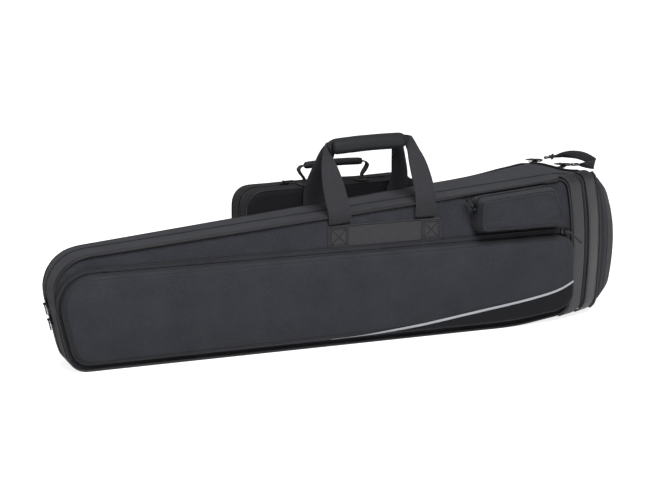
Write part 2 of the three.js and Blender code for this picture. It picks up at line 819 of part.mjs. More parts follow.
function pocketLoop(inset, rise) {
  const left = (z) => slideEdgeX(z) + pocket.leftInset + inset;
  const right = pocket.right + pocket.bulge * smooth(pocket.bulgeStart, pocket.depth / 2, rise) - inset;
  const corner = (radius) => Math.max(radius - inset, gap * 10);
  const shape = outline({
    bl: new THREE.Vector2(left(pocket.foot), pocket.foot + inset),
    br: new THREE.Vector2(right, pocket.foot + inset),
    tr: new THREE.Vector2(right, pocket.head - inset),
    tl: new THREE.Vector2(left(pocket.head), pocket.head - inset),
    radii: {
      bl: corner(pocket.footCorner),
      br: corner(pocket.footCorner),
      tr: corner(pocket.bellHeadCorner),
      tl: corner(pocket.slideHeadCorner),
    },
    stations: { fixed: [-slideReach / 2, 0, slideReach / 2, bellStartX - pocket.crownInset], freeShares: [] },
    steps: 5,
  });
  return ringOf(shape, (p) => at(p.x, frontDepth(p.x) - rise, pocketHeight(p.x, p.y)));
}

const pocketProfile = [
  [0, pocket.clearance],
  [pocket.sideDraw, pocket.depth / 2],
  [pocket.faceInset, pocket.depth - gap * 5],
  [pocket.roundInset, pocket.depth],
  [pocket.crownInset, pocket.depth + pocket.crown],
];

function pocketRise(inset) {
  if (inset >= pocket.crownInset) return pocket.depth + pocket.crown;
  const k = Math.max(1, pocketProfile.findIndex(([reach]) => reach >= inset));
  const [from, low] = pocketProfile[k - 1];
  const [to, high] = pocketProfile[k];
  return lerp(low, high, (inset - from) / (to - from));
}

function makePocketFront() {
  const outer = pocketProfile.map(([inset, rise]) => pocketLoop(inset, rise));
  const inner = pocketProfile.map(([inset, rise]) => {
    return pocketLoop(inset + pocket.cloth, Math.max(pocket.clearance, rise - pocket.cloth));
  });
  const made = mesh('pocket_front', tray(outer, inner), 'cloth');
  made.userData.pivot = at(0, -pocket.clearance, pocket.foot);
  made.userData.axis = alongX;
  return made;
}

// The trim climbs from the foot of the pocket to its bell end, with a darker panel below it.
const pocketReach = pocket.right + pocket.bulge;
const trimSpan = pocketReach - pocket.faceInset - trim.startX;
const trimStations = trimShares.map(([along, rise]) => [
  trim.startX + along * trimSpan,
  pocket.foot + rise * (pocket.head - pocket.foot),
]);

function pocketInset(x, z) {
  const cornerX = pocketReach - pocket.footCorner;
  const cornerZ = pocket.foot + pocket.footCorner;
  if (x > cornerX && z < cornerZ) return pocket.footCorner - Math.hypot(x - cornerX, cornerZ - z);
  return Math.min(z - pocket.foot, pocketReach - x);
}

function pocketSheet(stations, thick) {
  const sections = stations.map(([x, heights]) => {
    const skin = (lift) => heights.map((z) => {
      const depth = frontDepth(x) - pocketRise(pocketInset(x, z)) - trim.clearance - lift;
      return at(x, depth, pocketHeight(x, z));
    });
    return [...skin(0), ...skin(thick).reverse()];
  });
  return loft(sections);
}

function makeTrim() {
  const stations = trimStations.map(([x, z], k) => {
    const width = trim.width * Math.min(1, (k + 1) / 4);
    return [x, [z, z + width / 4, z + width]];
  });
  return mesh('reflective_trim', pocketSheet(stations, trim.thick), 'reflective');
}

function makeLowerPanel() {
  const cornerX = pocketReach - pocket.footCorner;
  const cornerZ = pocket.foot + pocket.footCorner;
  const stations = trimStations.slice(3).map(([x, z]) => {
    const past = Math.max(0, x - cornerX);
    const reach = pocket.footCorner - pocket.faceInset;
    const low = cornerZ - Math.sqrt(reach * reach - past * past);
    const high = z - gap;
    return [x, [0, 0.15, 0.4, 0.7, 1].map((share) => lerp(low, high, share))];
  });
  return mesh('pocket_lower_panel', pocketSheet(stations, trim.thick), 'darkCloth');
}

// The pocket's zip lies in one plane, so that its slider runs straight.
const pocketZipFace = -pocket.clearance - pocketZip.thick;

function makePocketZip() {
  const low = pocket.head + gap;
  const high = low + pocketZip.width;
  const xs = [pocketZip.start, -slideReach / 4, slideReach / 4, bellStartX, pocketZip.end];
  const sections = xs.map((x) => {
    const back = frontDepth(x) - pocket.clearance;
    return [at(x, back, low), at(x, back, high), at(x, pocketZipFace, high), at(x, pocketZipFace, low)];
  });
  return mesh('pocket_zip', loft(sections), 'zipTape');
}

function makePocketSlider() {
  const x = pocketZip.end - slider.length / 2 - gap;
  const middle = pocket.head + 3 * gap + pocketZip.width / 2;
  const place = at(x, pocketZipFace, middle);
  return sliderPair('pocket_slider', 'pocket_puller', {
    place,
    out: at(0, -1, 0),
    along: at(-1, 0, 0),
    kind: 'cord',
    aside: cordPuller.droop,
    hang: cordPuller.lean,
  });
}

// Upper pouch: a shallow tray sewn to the lid and a cover zipped to it on three sides

function pouchLoop(inset, depth) {
  const lean = (z) => lerp(pouch.right, pouch.headRight, (z - pouch.foot) / (topHeight(pouch.right) - pouch.foot));
  const head = (x) => topHeight(x) - pouch.headFall - inset;
  const shape = outline({
    bl: new THREE.Vector2(pouch.left + inset, pouch.foot + inset),
    br: new THREE.Vector2(lean(pouch.foot) - inset, pouch.foot + inset),
    tr: new THREE.Vector2(lean(head(pouch.headRight)) - inset, head(pouch.headRight)),
    tl: new THREE.Vector2(pouch.left + inset, head(pouch.left)),
    radii: Object.fromEntries(['bl', 'br', 'tr', 'tl'].map((end) => [end, pouch.corner - inset / 2])),
    steps: 3,
  });
  return ringOf(shape, (p) => at(p.x, -depth, p.y));
}

function makePouchBack() {
  const rim = pouch.backDepth - gap / 2;
  const outer = [pouchLoop(0, rim), pouchLoop(0, gap)];
  const inner = [pouchLoop(pouch.cloth, rim), pouchLoop(pouch.cloth, gap + pouch.cloth)];
  return mesh('pouch_back', tray(outer, inner), 'cloth');
}

function makePouchCover() {
  const rim = pouch.backDepth + gap / 2;
  const face = pouch.frontDepth;
  const inset = pouch.faceInset;
  const outer = [
    pouchLoop(0, rim),
    pouchLoop(inset / 2, face - inset),
    pouchLoop(inset, face - gap * 2),
    pouchLoop(inset * 3, face),
  ];
  const inner = [
    pouchLoop(pouch.cloth, rim),
    pouchLoop(inset + pouch.cloth, face - gap * 2 - pouch.cloth),
    pouchLoop(inset * 3, face - pouch.cloth),
  ];
  const made = mesh('pouch_cover', tray(outer, inner), 'cloth');
  made.userData.pivot = at(0, -pouch.backDepth, pouch.foot);
  made.userData.axis = alongX;
  return made;
}

function makePouchSlider() {
  const reach = pouch.headFall + pouch.corner + slider.length * 0.6;
  const place = at(pouch.left, -pouch.backDepth, topHeight(pouch.left) - reach);
  return sliderPair('pouch_slider', 'pouch_puller', {
    place,
    out: at(-1, 0, 0),
    along: at(0, 0, -1),
    kind: 'ring',
    hang: ringPuller.hang,
  });
}

// Carrying handle

function sewnPatch(width, height, thick, frame) {
  return plate(roundedShape(width, height, thick * 1.5), thick, frame);
}

function makeHandleBase() {
  const height = base.head - base.foot;
  const middle = (base.head + base.foot) / 2;
  const width = base.right - base.left;
  const face = -gap - base.thick + gap / 2;
  const side = height - 2 * base.patchInset;
  const sewn = sewnPatch(width, height, base.thick, {
    origin: at(base.left + width / 2, -gap, middle),
    right: alongX,
    up: alongZ,
  });
  const patches = [base.left + side / 2, base.right - side / 2].map((x) => {
    const centre = x + Math.sign(base.left + width / 2 - x) * base.patchInset;
    return sewnPatch(side, side, base.patchThick, { origin: at(centre, face, middle), right: alongX, up: alongZ });
  });
  return mesh('handle_base', joined([sewn, ...patches]), 'webbing');
}

// Each row: rise and lean from the pivot to the grip, spread in webbing widths, width and turn.
const frontLeftShares = [
  [0.015, 0, 0, 1, 0],
  [0.09, -0.045, -0.03, 1, 0],
  [0.17, -0.045, -0.04, 1, 0],
  [0.3, 0.08, -0.07, 1, 0],
  [0.46, 0.236, -0.1, 1, 0],
  [0.72, 0.518, -0.11, 0.84, 0.08],
  [0.89, 0.78, -0.08, 0.56, 0.35],
  [1, 1, -0.18, 0.5263, 1],
];
const frontRightShares = [
  [0.015, 0, 0, 0.92, 0],
  [0.09, -0.045, 0, 0.92, 0],
  [0.26, -0.045, 0.02, 0.92, 0],
  [0.36, 0.06, 0.04, 0.92, 0],
  [0.49, 0.22, 0.05, 0.92, 0],
  [0.72, 0.518, 0.03, 0.82, 0.08],
  [0.89, 0.78, 0.01, 0.52, 0.35],
  [1, 1, 0.18, 0.5263, 1],
];
const rearLeftShares = [
  [0.02, 0, 0.05, 1, 0],
  [0.16, 0, 0.05, 1, 0],
  [0.28, 0.08, 0.05, 1, 0],
  [0.44, 0.24, 0.07, 0.96, 0],
  [0.66, 0.52, 0.26, 0.88, 0.08],
  [0.86, 0.82, 0.27, 0.7, 0.3],
  [0.97, 0.97, 0.2, 0.56, 0.7],
];
const rearRightShares = [
  [0.02, 0, 0.03, 1, 0],
  [0.16, 0, 0.04, 1, 0],
  [0.28, 0.08, 0.07, 0.92, 0],
  [0.44, 0.24, 0.08, 0.78, 0],
  [0.66, 0.52, -0.15, 0.68, 0.08],
  [0.86, 0.82, -0.3, 0.62, 0.3],
  [0.97, 0.97, -0.24, 0.56, 0.7],
];

function legStops(shares, foot, top, across, mirrored) {
  return shares.map(([rise, lean, spread, width, turn]) => {
    const angle = (turn * Math.PI) / 2;
    const flat = across.clone().multiplyScalar(mirrored ? -Math.cos(angle) : Math.cos(angle));
    return {
      at: at(
        lerp(foot.x, top.x, turn * turn) + spread * webbing.width,
        lerp(foot.y, top.y, lean),
        lerp(foot.z, top.z, rise),
      ),
      width: width * webbing.width,
      thick: webbing.thick,
      across: flat.add(at(0, 0, -Math.sin(angle))),
    };
  });
}

function loopGeometry({ leftShares, rightShares, leftFoot, rightFoot, leftTop, rightTop, across }) {
  const left = legStops(leftShares, leftFoot, leftTop, across, false);
  const right = legStops(rightShares, rightFoot, rightTop, across, true).reverse();
  const run = [0, 1 / 2, 1].map((share) => ({
    at: leftTop.clone().lerp(rightTop, share),
    width: webbing.gathered,
    thick: webbing.thick,
    across: at(0, 0, -1),
  }));
  return ribbon([...left, ...run, ...right]);
}

function makeFrontLoop() {
  const made = mesh('front_handle_webbing', loopGeometry({
    leftShares: frontLeftShares,
    rightShares: frontRightShares,
    leftFoot: at(webbing.leftFoot, loop.pivotDepth, loop.pivotHeight),
    rightFoot: at(webbing.rightFoot, loop.pivotDepth, loop.pivotHeight),
    leftTop: at(grip.left, grip.depth, grip.leftHeight),
    rightTop: at(grip.right, grip.depth, grip.rightHeight),
    across: alongX,
  }), 'webbing');
  made.userData.pivot = at(0, loop.pivotDepth, loop.pivotHeight);
  made.userData.axis = alongX;
  return made;
}

function gripGeometry(from, to, radius, bore, sides) {
  const half = from.distanceTo(to) / 2;
  const soft = radius / 5;
  const profile = [
    [bore, -half],
    [radius - soft, -half],
    [radius, -half + soft],
    [radius, half - soft],
    [radius - soft, half],
    [bore, half],
    [bore, -half],
  ].map(([x, y]) => new THREE.Vector2(x, y));
  const made = new THREE.LatheGeometry(profile, sides);
  const along = to.clone().sub(from).normalize();
  made.applyQuaternion(new THREE.Quaternion().setFromUnitVectors(alongY, along));
  const middle = from.clone().add(to).divideScalar(2);
  return geometryOf(solid(made.translate(middle.x, middle.y, middle.z)));
}

function makeGrip() {
  const bore = Math.hypot(webbing.gathered, webbing.thick) / 2 + grip.clearance;
  const from = at(grip.left, grip.depth, grip.leftHeight);
  const to = at(grip.right, grip.depth, grip.rightHeight);
  return mesh('handle_grip', gripGeometry(from, to, grip.radius, bore, 16), 'grip');
}

const backSlope = Math.atan((waistDepth - slideEndDepth) / (bulgeStart - slideEndX));
const alongBack = at(Math.cos(backSlope), Math.sin(backSlope), 0);

function makeRearLoop() {
  const footAt = (x) => at(x, backDepth(x) + rearLoop.stand, rearLoop.pivotHeight);
  const made = mesh('rear_handle_webbing', loopGeometry({
    leftShares: rearLeftShares,
    rightShares: rearRightShares,
    leftFoot: footAt(rearLoop.leftFoot),
    rightFoot: footAt(rearLoop.rightFoot),
    leftTop: at(grip.left + rearLoop.runInset, rearLoop.runDepth, grip.leftHeight),
    rightTop: at(grip.right - rearLoop.runInset, rearLoop.runDepth, grip.rightHeight),
    across: alongBack,
  }), 'webbing');
  made.userData.pivot = footAt(rearLoop.leftFoot);
  made.userData.axis = alongBack;
  return made;
}

function makeRearPatches() {
  return [['left', rearLoop.leftFoot], ['right', rearLoop.rightFoot]].map(([end, x]) => {
    const height = rearLoop.pivotHeight - rearLoop.patchFoot - gap;
    const origin = at(x, backDepth(x) + gap + base.patchThick, rearLoop.patchFoot + height / 2);
    const frame = { origin, right: alongBack, up: alongZ };
    return mesh(`rear_handle_patch_${end}`, sewnPatch(webbing.width, height, base.patchThick, frame), 'webbing');
  });
}

// Music bag, drawn in its own frame against the sloping back and then placed

function ontoBack(made) {
  made.geometry.rotateZ(backSlope);
  made.geometry.translate(bag.centreX, backDepth(bag.centreX) + bag.stand, 0);
  for (const [key, value] of Object.entries(made.userData)) {
    value.applyAxisAngle(alongZ, backSlope);
    if (key === 'pivot') value.add(at(bag.centreX, backDepth(bag.centreX) + bag.stand, 0));
  }
  return made;
}

function bagLoop(inset, depth) {
  const shape = outline({
    bl: new THREE.Vector2(bag.left + inset, bag.foot + inset),
    br: new THREE.Vector2(bag.right - inset, bag.foot + inset),
    tr: new THREE.Vector2(bag.right - inset, bag.head - inset),
    tl: new THREE.Vector2(bag.left + inset, bag.head - inset),
    radii: Object.fromEntries(['bl', 'br', 'tr', 'tl'].map((end) => [end, Math.max(bag.corner - inset, bag.cloth)])),
    steps: 5,
  });
  return ringOf(shape, (p) => at(p.x, depth, p.y));
}

function makeBagBody() {
  const rim = bag.depth / 2 - gap / 2;
  const outer = [bagLoop(0, rim), bagLoop(0, bag.edge), bagLoop(bag.edge * 0.3, bag.edge * 0.3), bagLoop(bag.edge, 0)];
  const inner = [bagLoop(bag.cloth, rim), bagLoop(bag.cloth, bag.edge), bagLoop(bag.edge, bag.cloth)];
  return ontoBack(mesh('bag_body', tray(outer, inner), 'darkCloth'));
}

function makeBagCover() {
  const rim = bag.depth / 2 + gap / 2;
  const outer = [
    bagLoop(0, rim),
    bagLoop(0, bag.depth - bag.edge),
    bagLoop(bag.edge * 0.3, bag.depth - bag.edge * 0.3),
    bagLoop(bag.edge, bag.depth),
    bagLoop(bag.crownInset, bag.depth + bag.crown),
  ];
  const inner = [
    bagLoop(bag.cloth, rim),
    bagLoop(bag.cloth, bag.depth - bag.edge),
    bagLoop(bag.edge, bag.depth - bag.cloth),
    bagLoop(bag.crownInset, bag.depth + bag.crown - bag.cloth),
  ];
  const made = mesh('bag_cover', tray(outer, inner), 'darkCloth');
  made.userData.pivot = at(0, bag.depth / 2, bag.foot);
  made.userData.axis = at(-1, 0, 0);
  return ontoBack(made);
}

function makeBagPads() {
  const thick = (bag.stand - 3 * gap) / 2;
  const middle = (bagPad.low + bagPad.high) / 2;
  return [['left', bag.left], ['right', bag.right]].flatMap(([end, side]) => [
    ['shell_pad', -bag.stand + gap + thick],
    ['bag_pad', -gap],
  ].map(([owner, depth]) => {
    const shape = roundedShape(bagPad.halfWidth, bagPad.high - bagPad.low, bagPad.thick);
    const frame = { origin: at(side / 2, depth, middle), right: alongX, up: alongZ };
    return ontoBack(mesh(`${owner}_${end}`, plate(shape, thick, frame), 'plush'));
  }));
}

function makeBagSlider() {
  const place = at(bag.left / 2, bag.depth / 2, bag.head);
  return sliderPair('bag_slider', 'bag_puller', {
    place,
    out: alongZ.clone(),
    along: at(-1, 0, 0),
    kind: 'tab',
  }).map(ontoBack);
}

// Each row: spread in half lengths of the grip, rise to the grip, and width.
const bagHandleShares = [
  [0.96, 0.152, 0.5],
  [0.98, 0.32, 0.75],
  [1.1, 0.55, 1],
  [1.17, 0.8, 0.8],
  [1.1, 0.99, 0.62],
  [1, 1, 0.56],
];

function makeBagHandle() {
  const foot = bag.head + gap + bagTab.thick + gap;
  const depth = bag.depth / 4;
  const stop = (side, [spread, rise, width]) => ({
    at: at(side * spread * bagHandle.halfLength, depth, foot + rise * bagHandle.lift),
    width: width * bagHandle.width,
    thick: bagHandle.thick,
    across: alongY,
  });
  const left = bagHandleShares.map((row) => stop(-1, row));
  const right = bagHandleShares.map((row) => stop(1, row)).reverse();
  const made = mesh('bag_handle_webbing', ribbon([...left, stop(0, [0, 1, 0.56]), ...right]), 'webbing');
  made.userData.pivot = at(0, depth, foot);
  made.userData.axis = alongX.clone();
  const reach = bagHandle.halfLength - gap;
  const height = foot + bagHandle.lift;
  const bore = Math.hypot(bagHandle.width * 0.56, bagHandle.thick) / 2 + gap;
  const tube = gripGeometry(at(-reach, depth, height), at(reach, depth, height), bagHandle.radius, bore, 12);
  return [ontoBack(made), ontoBack(mesh('bag_handle_grip', tube, 'grip'))];
}

function makeBagTabs() {
  return [['left', -1], ['right', 1]].map(([end, side]) => {
    const x = side * bagHandle.halfLength * bagHandleShares[0][0];
    const frame = { origin: at(x, bag.depth / 4, bag.head + gap), right: alongX, up: alongY };
    const patch = sewnPatch(bagTab.width, bagTab.depth, bagTab.thick, frame);
    const pivot = at(x, bag.depth / 4, bag.head + gap + bagTab.thick + gap);
    const reach = at(bagTab.knuckleWidth / 2, 0, 0);
    const knuckle = rod(pivot.clone().sub(reach), pivot.clone().add(reach), bagTab.knuckle);
    const body = cut(knuckle, [block(at(x - bagTab.width, 0, 0), at(x + bagTab.width, bag.depth, bag.head + gap))]);
    return ontoBack(mesh(`bag_tab_${end}`, joined([patch, body]), 'webbing'));
  });
}

// Haul strap: two folded tabs on the bell end hold rings, and hooks carry a loop of webbing

function shellTop(x, depth) {
  const past = Math.max(0, depth - backDepth(x) + backRadius(x));
  const rounding = backRadius(x) - Math.sqrt(backRadius(x) * backRadius(x) - past * past);
  return topHeight(x) - domeDrop(x, depth) - rounding;
}

const barRear = at(ringRear.x, ringRear.y, shellTop(ringRear.x, ringRear.y) + ringRear.stand);
const barFront = at(ringFront.x, ringFront.y, shellTop(ringFront.x, ringFront.y) + ringFront.stand);
const barAlong = barFront.clone().sub(barRear).normalize();
const haulOut = barAlong.clone().cross(alongZ).negate().normalize();
const haulUp = barAlong.clone().cross(haulOut).normalize();

function onBar(bar, along, out, up) {
  return bar.clone().addScaledVector(barAlong, along).addScaledVector(haulOut, out).addScaledVector(haulUp, up);
}

// A tab is folded round the bar of its ring; its lower leaf rests on the cloth, its upper leaf
// passes over the piping.
function makeHaulTab(name, bar) {
  const radius = haul.wire + gap + haul.tabThick / 2;
  const turns = [-1, -0.5, 0, 0.5, 1].map((share) => (share * Math.PI) / 2);
  const fold = turns.map((turn) => onBar(bar, 0, radius * Math.cos(turn), radius * Math.sin(turn)));
  const lower = [haul.lowerLeaf, haul.lowerLeaf / 2].map((length) => {
    const leaf = onBar(bar, 0, -length, 0);
    return leaf.setZ(shellTop(leaf.x, leaf.y) + haul.leafStand + haul.tabThick / 2);
  });
  const upper = [0.5, 1].map((share) => onBar(bar, 0, -haul.tabLength * share, radius));
  const points = [...lower, ...fold, ...upper];
  const stops = points.map((p) => ({ at: p, width: haul.tabWidth, thick: haul.tabThick, across: barAlong }));
  return mesh(name, ribbon(stops), 'webbing');
}

function makeHaulRing(name, bar) {
  const half = haul.ringWidth / 2;
  const reach = haul.ringReach;
  const turns = [-1, -0.6, -0.2, 0.2, 0.6, 1].map((share) => (share * Math.PI) / 2);
  const arc = turns.map((turn) => onBar(bar, half * Math.sin(turn), reach * Math.cos(turn) + 2 * haul.wire, 0));
  const bars = [0.9, -0.9].map((share) => onBar(bar, half * share, 0, 0));
  const points = [...arc, ...bars];
  const made = mesh(name, tube(points, haul.wire, 6, true), 'metal');
  made.userData.pivot = bar;
  made.userData.axis = barAlong;
  return made;
}

// Each row: share of the way between the rings, reach from their line, rise and twist.
const haulRouteShares = [
  [0.24, 0.27, 0.1, 0],
  [0.36, 0.37, 0.12, 0.1],
  [0.52, 0.5, 0.17, 0.4],
  [0.8, 0.68, 0.2, 0.8],
  [1.04, 0.84, 0.14, 1],
  [1.24, 0.95, 0, 1],
  [1.3, 0.86, -0.06, 0.9],
  [1.22, 0.68, -0.04, 0.6],
  [1.12, 0.47, -0.02, 0.2],
];

function haulPoint([share, out, rise]) {
  const along = share * barRear.distanceTo(barFront);
  return onBar(barRear, along, out * haul.reach, rise * haul.reach);
}

function makeHaulWebbing() {
  const stops = haulRouteShares.map((row) => ({
    at: haulPoint(row),
    width: haul.width,
    thick: haul.thick,
    across: barAlong.clone().lerp(haulUp, row[3]),
  }));
  return mesh('haul_webbing', ribbon(stops), 'webbing');
}

function makeHook(name, bar, row) {
  const end = haulPoint(row);
  const toward = end.clone().sub(bar).normalize();
  const start = bar.clone().addScaledVector(toward, haul.ringReach + haul.wire * 3 + gap * 2);
  const stop = end.clone().addScaledVector(toward, -gap * 2);
  return mesh(name, rod(start, stop, haul.hookRadius), 'metal');
}

function makeHaulBuckle() {
  const centre = haulPoint(haulRouteShares[1]);
  const next = haulPoint(haulRouteShares[2]);
  const before = haulPoint(haulRouteShares[0]);
  const along = next.clone().sub(before).normalize();
  const flat = barAlong.clone().lerp(haulUp, haulRouteShares[1][3]);
  const across = flat.addScaledVector(along, -flat.dot(along)).normalize();
  const up = along.clone().cross(across);
  const outerShape = roundedShape(haul.width + haul.wire * 3, haul.thick + haul.wire * 3, haul.wire);
  const hole = new THREE.Path(roundedShape(haul.width + gap * 6, haul.thick + gap * 6, gap).getPoints(1).reverse());
  outerShape.holes.push(hole);
  const frame = { origin: centre.addScaledVector(along, -haul.wire), right: across, up: up.clone().negate() };
  return mesh('haul_buckle', plate(outerShape, haul.wire * 2, frame), 'plastic');
}

// Inside of the shell: foam that follows its walls, with a well shaped like the bell section

function wellGeometry() {
  const from = at(bell.tailX, bell.tailDepth, bell.tailHeight);
  const to = at(bell.rimX, bell.depth, bell.height);
  const length = from.distanceTo(to);
  const flare = flareShares.map(([along, radius]) => new THREE.Vector2(radius * bell.rimRadius, along * length));
  const cap = [0.35, 0.7, 0.92].map((share) => {
    return new THREE.Vector2(bell.rimRadius * Math.sqrt(1 - share * share), length + bell.capReach * share);
  });
  const tail = new THREE.Vector2(0, 0);
  const tip = new THREE.Vector2(0, length + bell.capReach);
  const turned = new THREE.LatheGeometry([tail, ...flare, ...cap, tip], 20);
  const side = [...flare, ...cap, tip];
  const silhouette = new THREE.Shape([
    tail,
    ...side,
    ...[...flare, ...cap].reverse().map((p) => new THREE.Vector2(-p.x, p.y)),
  ]);
  const front = new THREE.ExtrudeGeometry(silhouette, { depth: bell.depth * 2, bevelEnabled: false });
  const both = [turned, front].map(solid).reduce((all, next) => all.add(next));
  const along = to.clone().sub(from).normalize();
  const forward = alongY.clone().negate().addScaledVector(along, along.y).normalize();
  const made = geometryOf(both);
  made.applyMatrix4(new THREE.Matrix4().makeBasis(along.clone().cross(forward), along, forward).setPosition(from));
  return made;
}

function makeInsert() {
  const rim = (x) => besideSplit(x, zipHalfWidth);
  const body = loft(shellRings(-wall, rim));
  const middle = slideEndHeight / 2;
  const shrink = [slideReach, bellDepth, middle].map((reach) => 1 - insertClearance / reach);
  body.translate(0, 0, -middle).scale(...shrink).translate(0, 0, middle);
  const sunk = loft([() => 0, (x) => rim(x) + insertSink].map((depthAt) => caseRing({ depthAt })));
  const front = lidDepth;
  const slot = block(
    at(tubeSlot.left, front, tubeSlot.low),
    at(tubeSlot.right, front + zipHalfWidth + insertSink + tubeSlot.depth, tubeSlot.high),
  );
  const well = block(
    at(accessoryWell.left, front, accessoryWell.low),
    at(accessoryWell.right, front + insertSink + accessoryWell.depth, accessoryWell.high),
  );
  return mesh('shell_insert', cut(body, [sunk, wellGeometry(), slot, well]), 'plush');
}

function makeBellStrap() {
  const depth = besideSplit(bellStrap.x, zipHalfWidth) + insertSink - gap - strap.thick;
  const height = bellStrap.high - bellStrap.low;
  const origin = at(bellStrap.x, depth + strap.thick, bellStrap.low + height / 2);
  const shape = roundedShape(strap.width, height, strap.width / 6);
  return mesh('bell_strap', plate(shape, strap.thick, { origin, right: alongX, up: alongZ }), 'webbing');
}

// Inside of the lid: lining, two foam cradles for the slide and the straps over them

function makeLining() {
  const depths = [wall + gap, wall + gap + lining.thick];
  const rings = depths.map((depth) => caseRing({ depthAt: () => depth, out: -lining.inset, reach: bellStartX }));
  return mesh('lid_lining', loft(rings), 'plush');
}

function makeCradle(end, x) {
  const floor = wall + lining.thick + 2 * gap;
  const shape = new THREE.Shape([
    new THREE.Vector2(0, cradle.low),
    new THREE.Vector2(cradle.depth, cradle.low),
  ]);
  for (const height of [cradle.tubeLow, cradle.tubeHigh]) {
    shape.absarc(cradle.depth, height, cradle.tubeRadius, -Math.PI / 2, Math.PI / 2, true);
  }
  shape.lineTo(cradle.depth, cradle.high);
  shape.lineTo(0, cradle.high);
  const frame = { origin: at(x - cradle.length / 2, floor, 0), right: alongY, up: alongZ };
  const foam = plate(shape, cradle.length, frame);
  const face = floor + cradle.depth + gap + strap.thick;
  const strapShape = roundedShape(strap.width, cradle.high - cradle.low, strap.width / 6);
  const middle = (cradle.high + cradle.low) / 2;
  const over = plate(strapShape, strap.thick, { origin: at(x, face, middle), right: alongX, up: alongZ });
  return [mesh(`slide_cradle_${end}`, foam, 'plush'), mesh(`slide_strap_${end}`, over, 'webbing')];
}

const group = new THREE.Group();
group.add(
  makeShell(),
  makeShellPiping(),
  makeBand('bell_band_shell', shellBandStartTurn, shellBandEndTurn),
  makeZipTape('zip_tape_shell', 1),
  makeHingeStrip(),
  makeInsert(),
  makeBellStrap(),
  makeLid(),
  makeLidPiping(),
  makeBand('bell_band_lid', lidBandStartTurn, lidBandEndTurn),
  makeZipTape('zip_tape_lid', -1),
  makeLining(),
  ...makeCradle('left', cradle.left),
  ...makeCradle('right', cradle.right),
  ...makeMainSliders(),
  makePocketFront(),
  makeLowerPanel(),
  makeTrim(),
  makePocketZip(),
  ...makePocketSlider(),
  makePouchBack(),
  makePouchCover(),
  ...makePouchSlider(),
  makeHandleBase(),
  makeFrontLoop(),
  makeGrip(),
  makeRearLoop(),
  ...makeRearPatches(),
  makeBagBody(),
  makeBagCover(),
  ...makeBagPads(),
  ...makeBagSlider(),
  ...makeBagHandle(),
  ...makeBagTabs(),
  makeHaulTab('ring_tab_rear', barRear),
  makeHaulTab('ring_tab_front', barFront),
  makeHaulRing('d_ring_rear', barRear),
  makeHaulRing('d_ring_front', barFront),
  makeHook('snap_hook_rear', barRear, haulRouteShares[0]),
  makeHook('snap_hook_front', barFront, haulRouteShares[haulRouteShares.length - 1]),
  makeHaulWebbing(),
  makeHaulBuckle(),
);

// The case is drawn about its handle, then set with its base at zero and its middle on the axis.
const bounds = new THREE.Box3().setFromObject(group);
const centre = bounds.getCenter(new THREE.Vector3());
for (const made of group.children) {
  made.geometry.translate(-centre.x, -centre.y, -bounds.min.z);
  if (made.userData.pivot) made.userData.pivot.sub(at(centre.x, centre.y, bounds.min.z));
}

export default group;
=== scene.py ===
"""Soft trombone case: woven cloth over foam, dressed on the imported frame.

Every sub-assembly is a class with its sizes in millimetres. Distances in Blender are metres.
"""
from __future__ import annotations

import logging
import math
from dataclasses import dataclass
from enum import Enum
from typing import Callable, Sequence

import bmesh
import bpy
import numpy as np
from mathutils import Matrix, Vector, noise
from mathutils.bvhtree import BVHTree


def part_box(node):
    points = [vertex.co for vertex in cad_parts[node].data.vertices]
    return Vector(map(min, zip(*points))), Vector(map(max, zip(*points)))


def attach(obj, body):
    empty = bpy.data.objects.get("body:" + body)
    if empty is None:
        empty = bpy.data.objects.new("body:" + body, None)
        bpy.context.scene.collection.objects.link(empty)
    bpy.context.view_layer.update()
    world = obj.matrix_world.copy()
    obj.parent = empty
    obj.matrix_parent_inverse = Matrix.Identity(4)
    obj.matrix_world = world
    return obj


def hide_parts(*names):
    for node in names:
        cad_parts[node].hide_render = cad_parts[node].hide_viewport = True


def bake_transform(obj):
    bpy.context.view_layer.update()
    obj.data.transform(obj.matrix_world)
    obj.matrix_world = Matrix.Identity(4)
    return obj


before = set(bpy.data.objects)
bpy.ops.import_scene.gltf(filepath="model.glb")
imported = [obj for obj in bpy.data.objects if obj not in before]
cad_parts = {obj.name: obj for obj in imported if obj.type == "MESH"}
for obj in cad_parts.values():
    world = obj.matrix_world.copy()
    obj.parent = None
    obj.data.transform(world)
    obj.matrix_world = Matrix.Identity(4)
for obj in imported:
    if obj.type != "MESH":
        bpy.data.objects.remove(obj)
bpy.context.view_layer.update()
log = logging.getLogger("trombone_case")

MM = 0.001
WELD = 0.02 * MM
BACK = Vector((0, 1, 0))
SIDES = ("left", "right")
STRAP_ENDS = ("rear", "front")

Points = Sequence[Vector]
Drift = Callable[[np.ndarray, np.ndarray], np.ndarray]


class Section(Enum):
    """What a thread or a zip is laid out with along its path."""

    STITCH = "stitch"
    COIL = "coil"


class Body(str, Enum):
    """Bodies of the case that pieces ride on."""

    SHELL = "shell"
    LID = "lid"
    POCKET = "pocket"
    POUCH = "pouch"
    FRONT_HANDLE = "front_handle"
    REAR_HANDLE = "rear_handle"
    BAG = "bag"
    BAG_COVER = "bag_cover"
    BAG_HANDLE = "bag_handle"
    HAUL = "haul_strap"
    UPPER_SLIDER = "main_slider_upper"
    UPPER_PULLER = "main_puller_upper"
    LOWER_SLIDER = "main_slider_lower"
    LOWER_PULLER = "main_puller_lower"
    POCKET_SLIDER = "pocket_slider"
    POCKET_PULLER = "pocket_puller"
    POUCH_SLIDER = "pouch_slider"
    POUCH_PULLER = "pouch_puller"
    BAG_SLIDER = "bag_slider"
    BAG_PULLER = "bag_puller"


# Numbers and colours


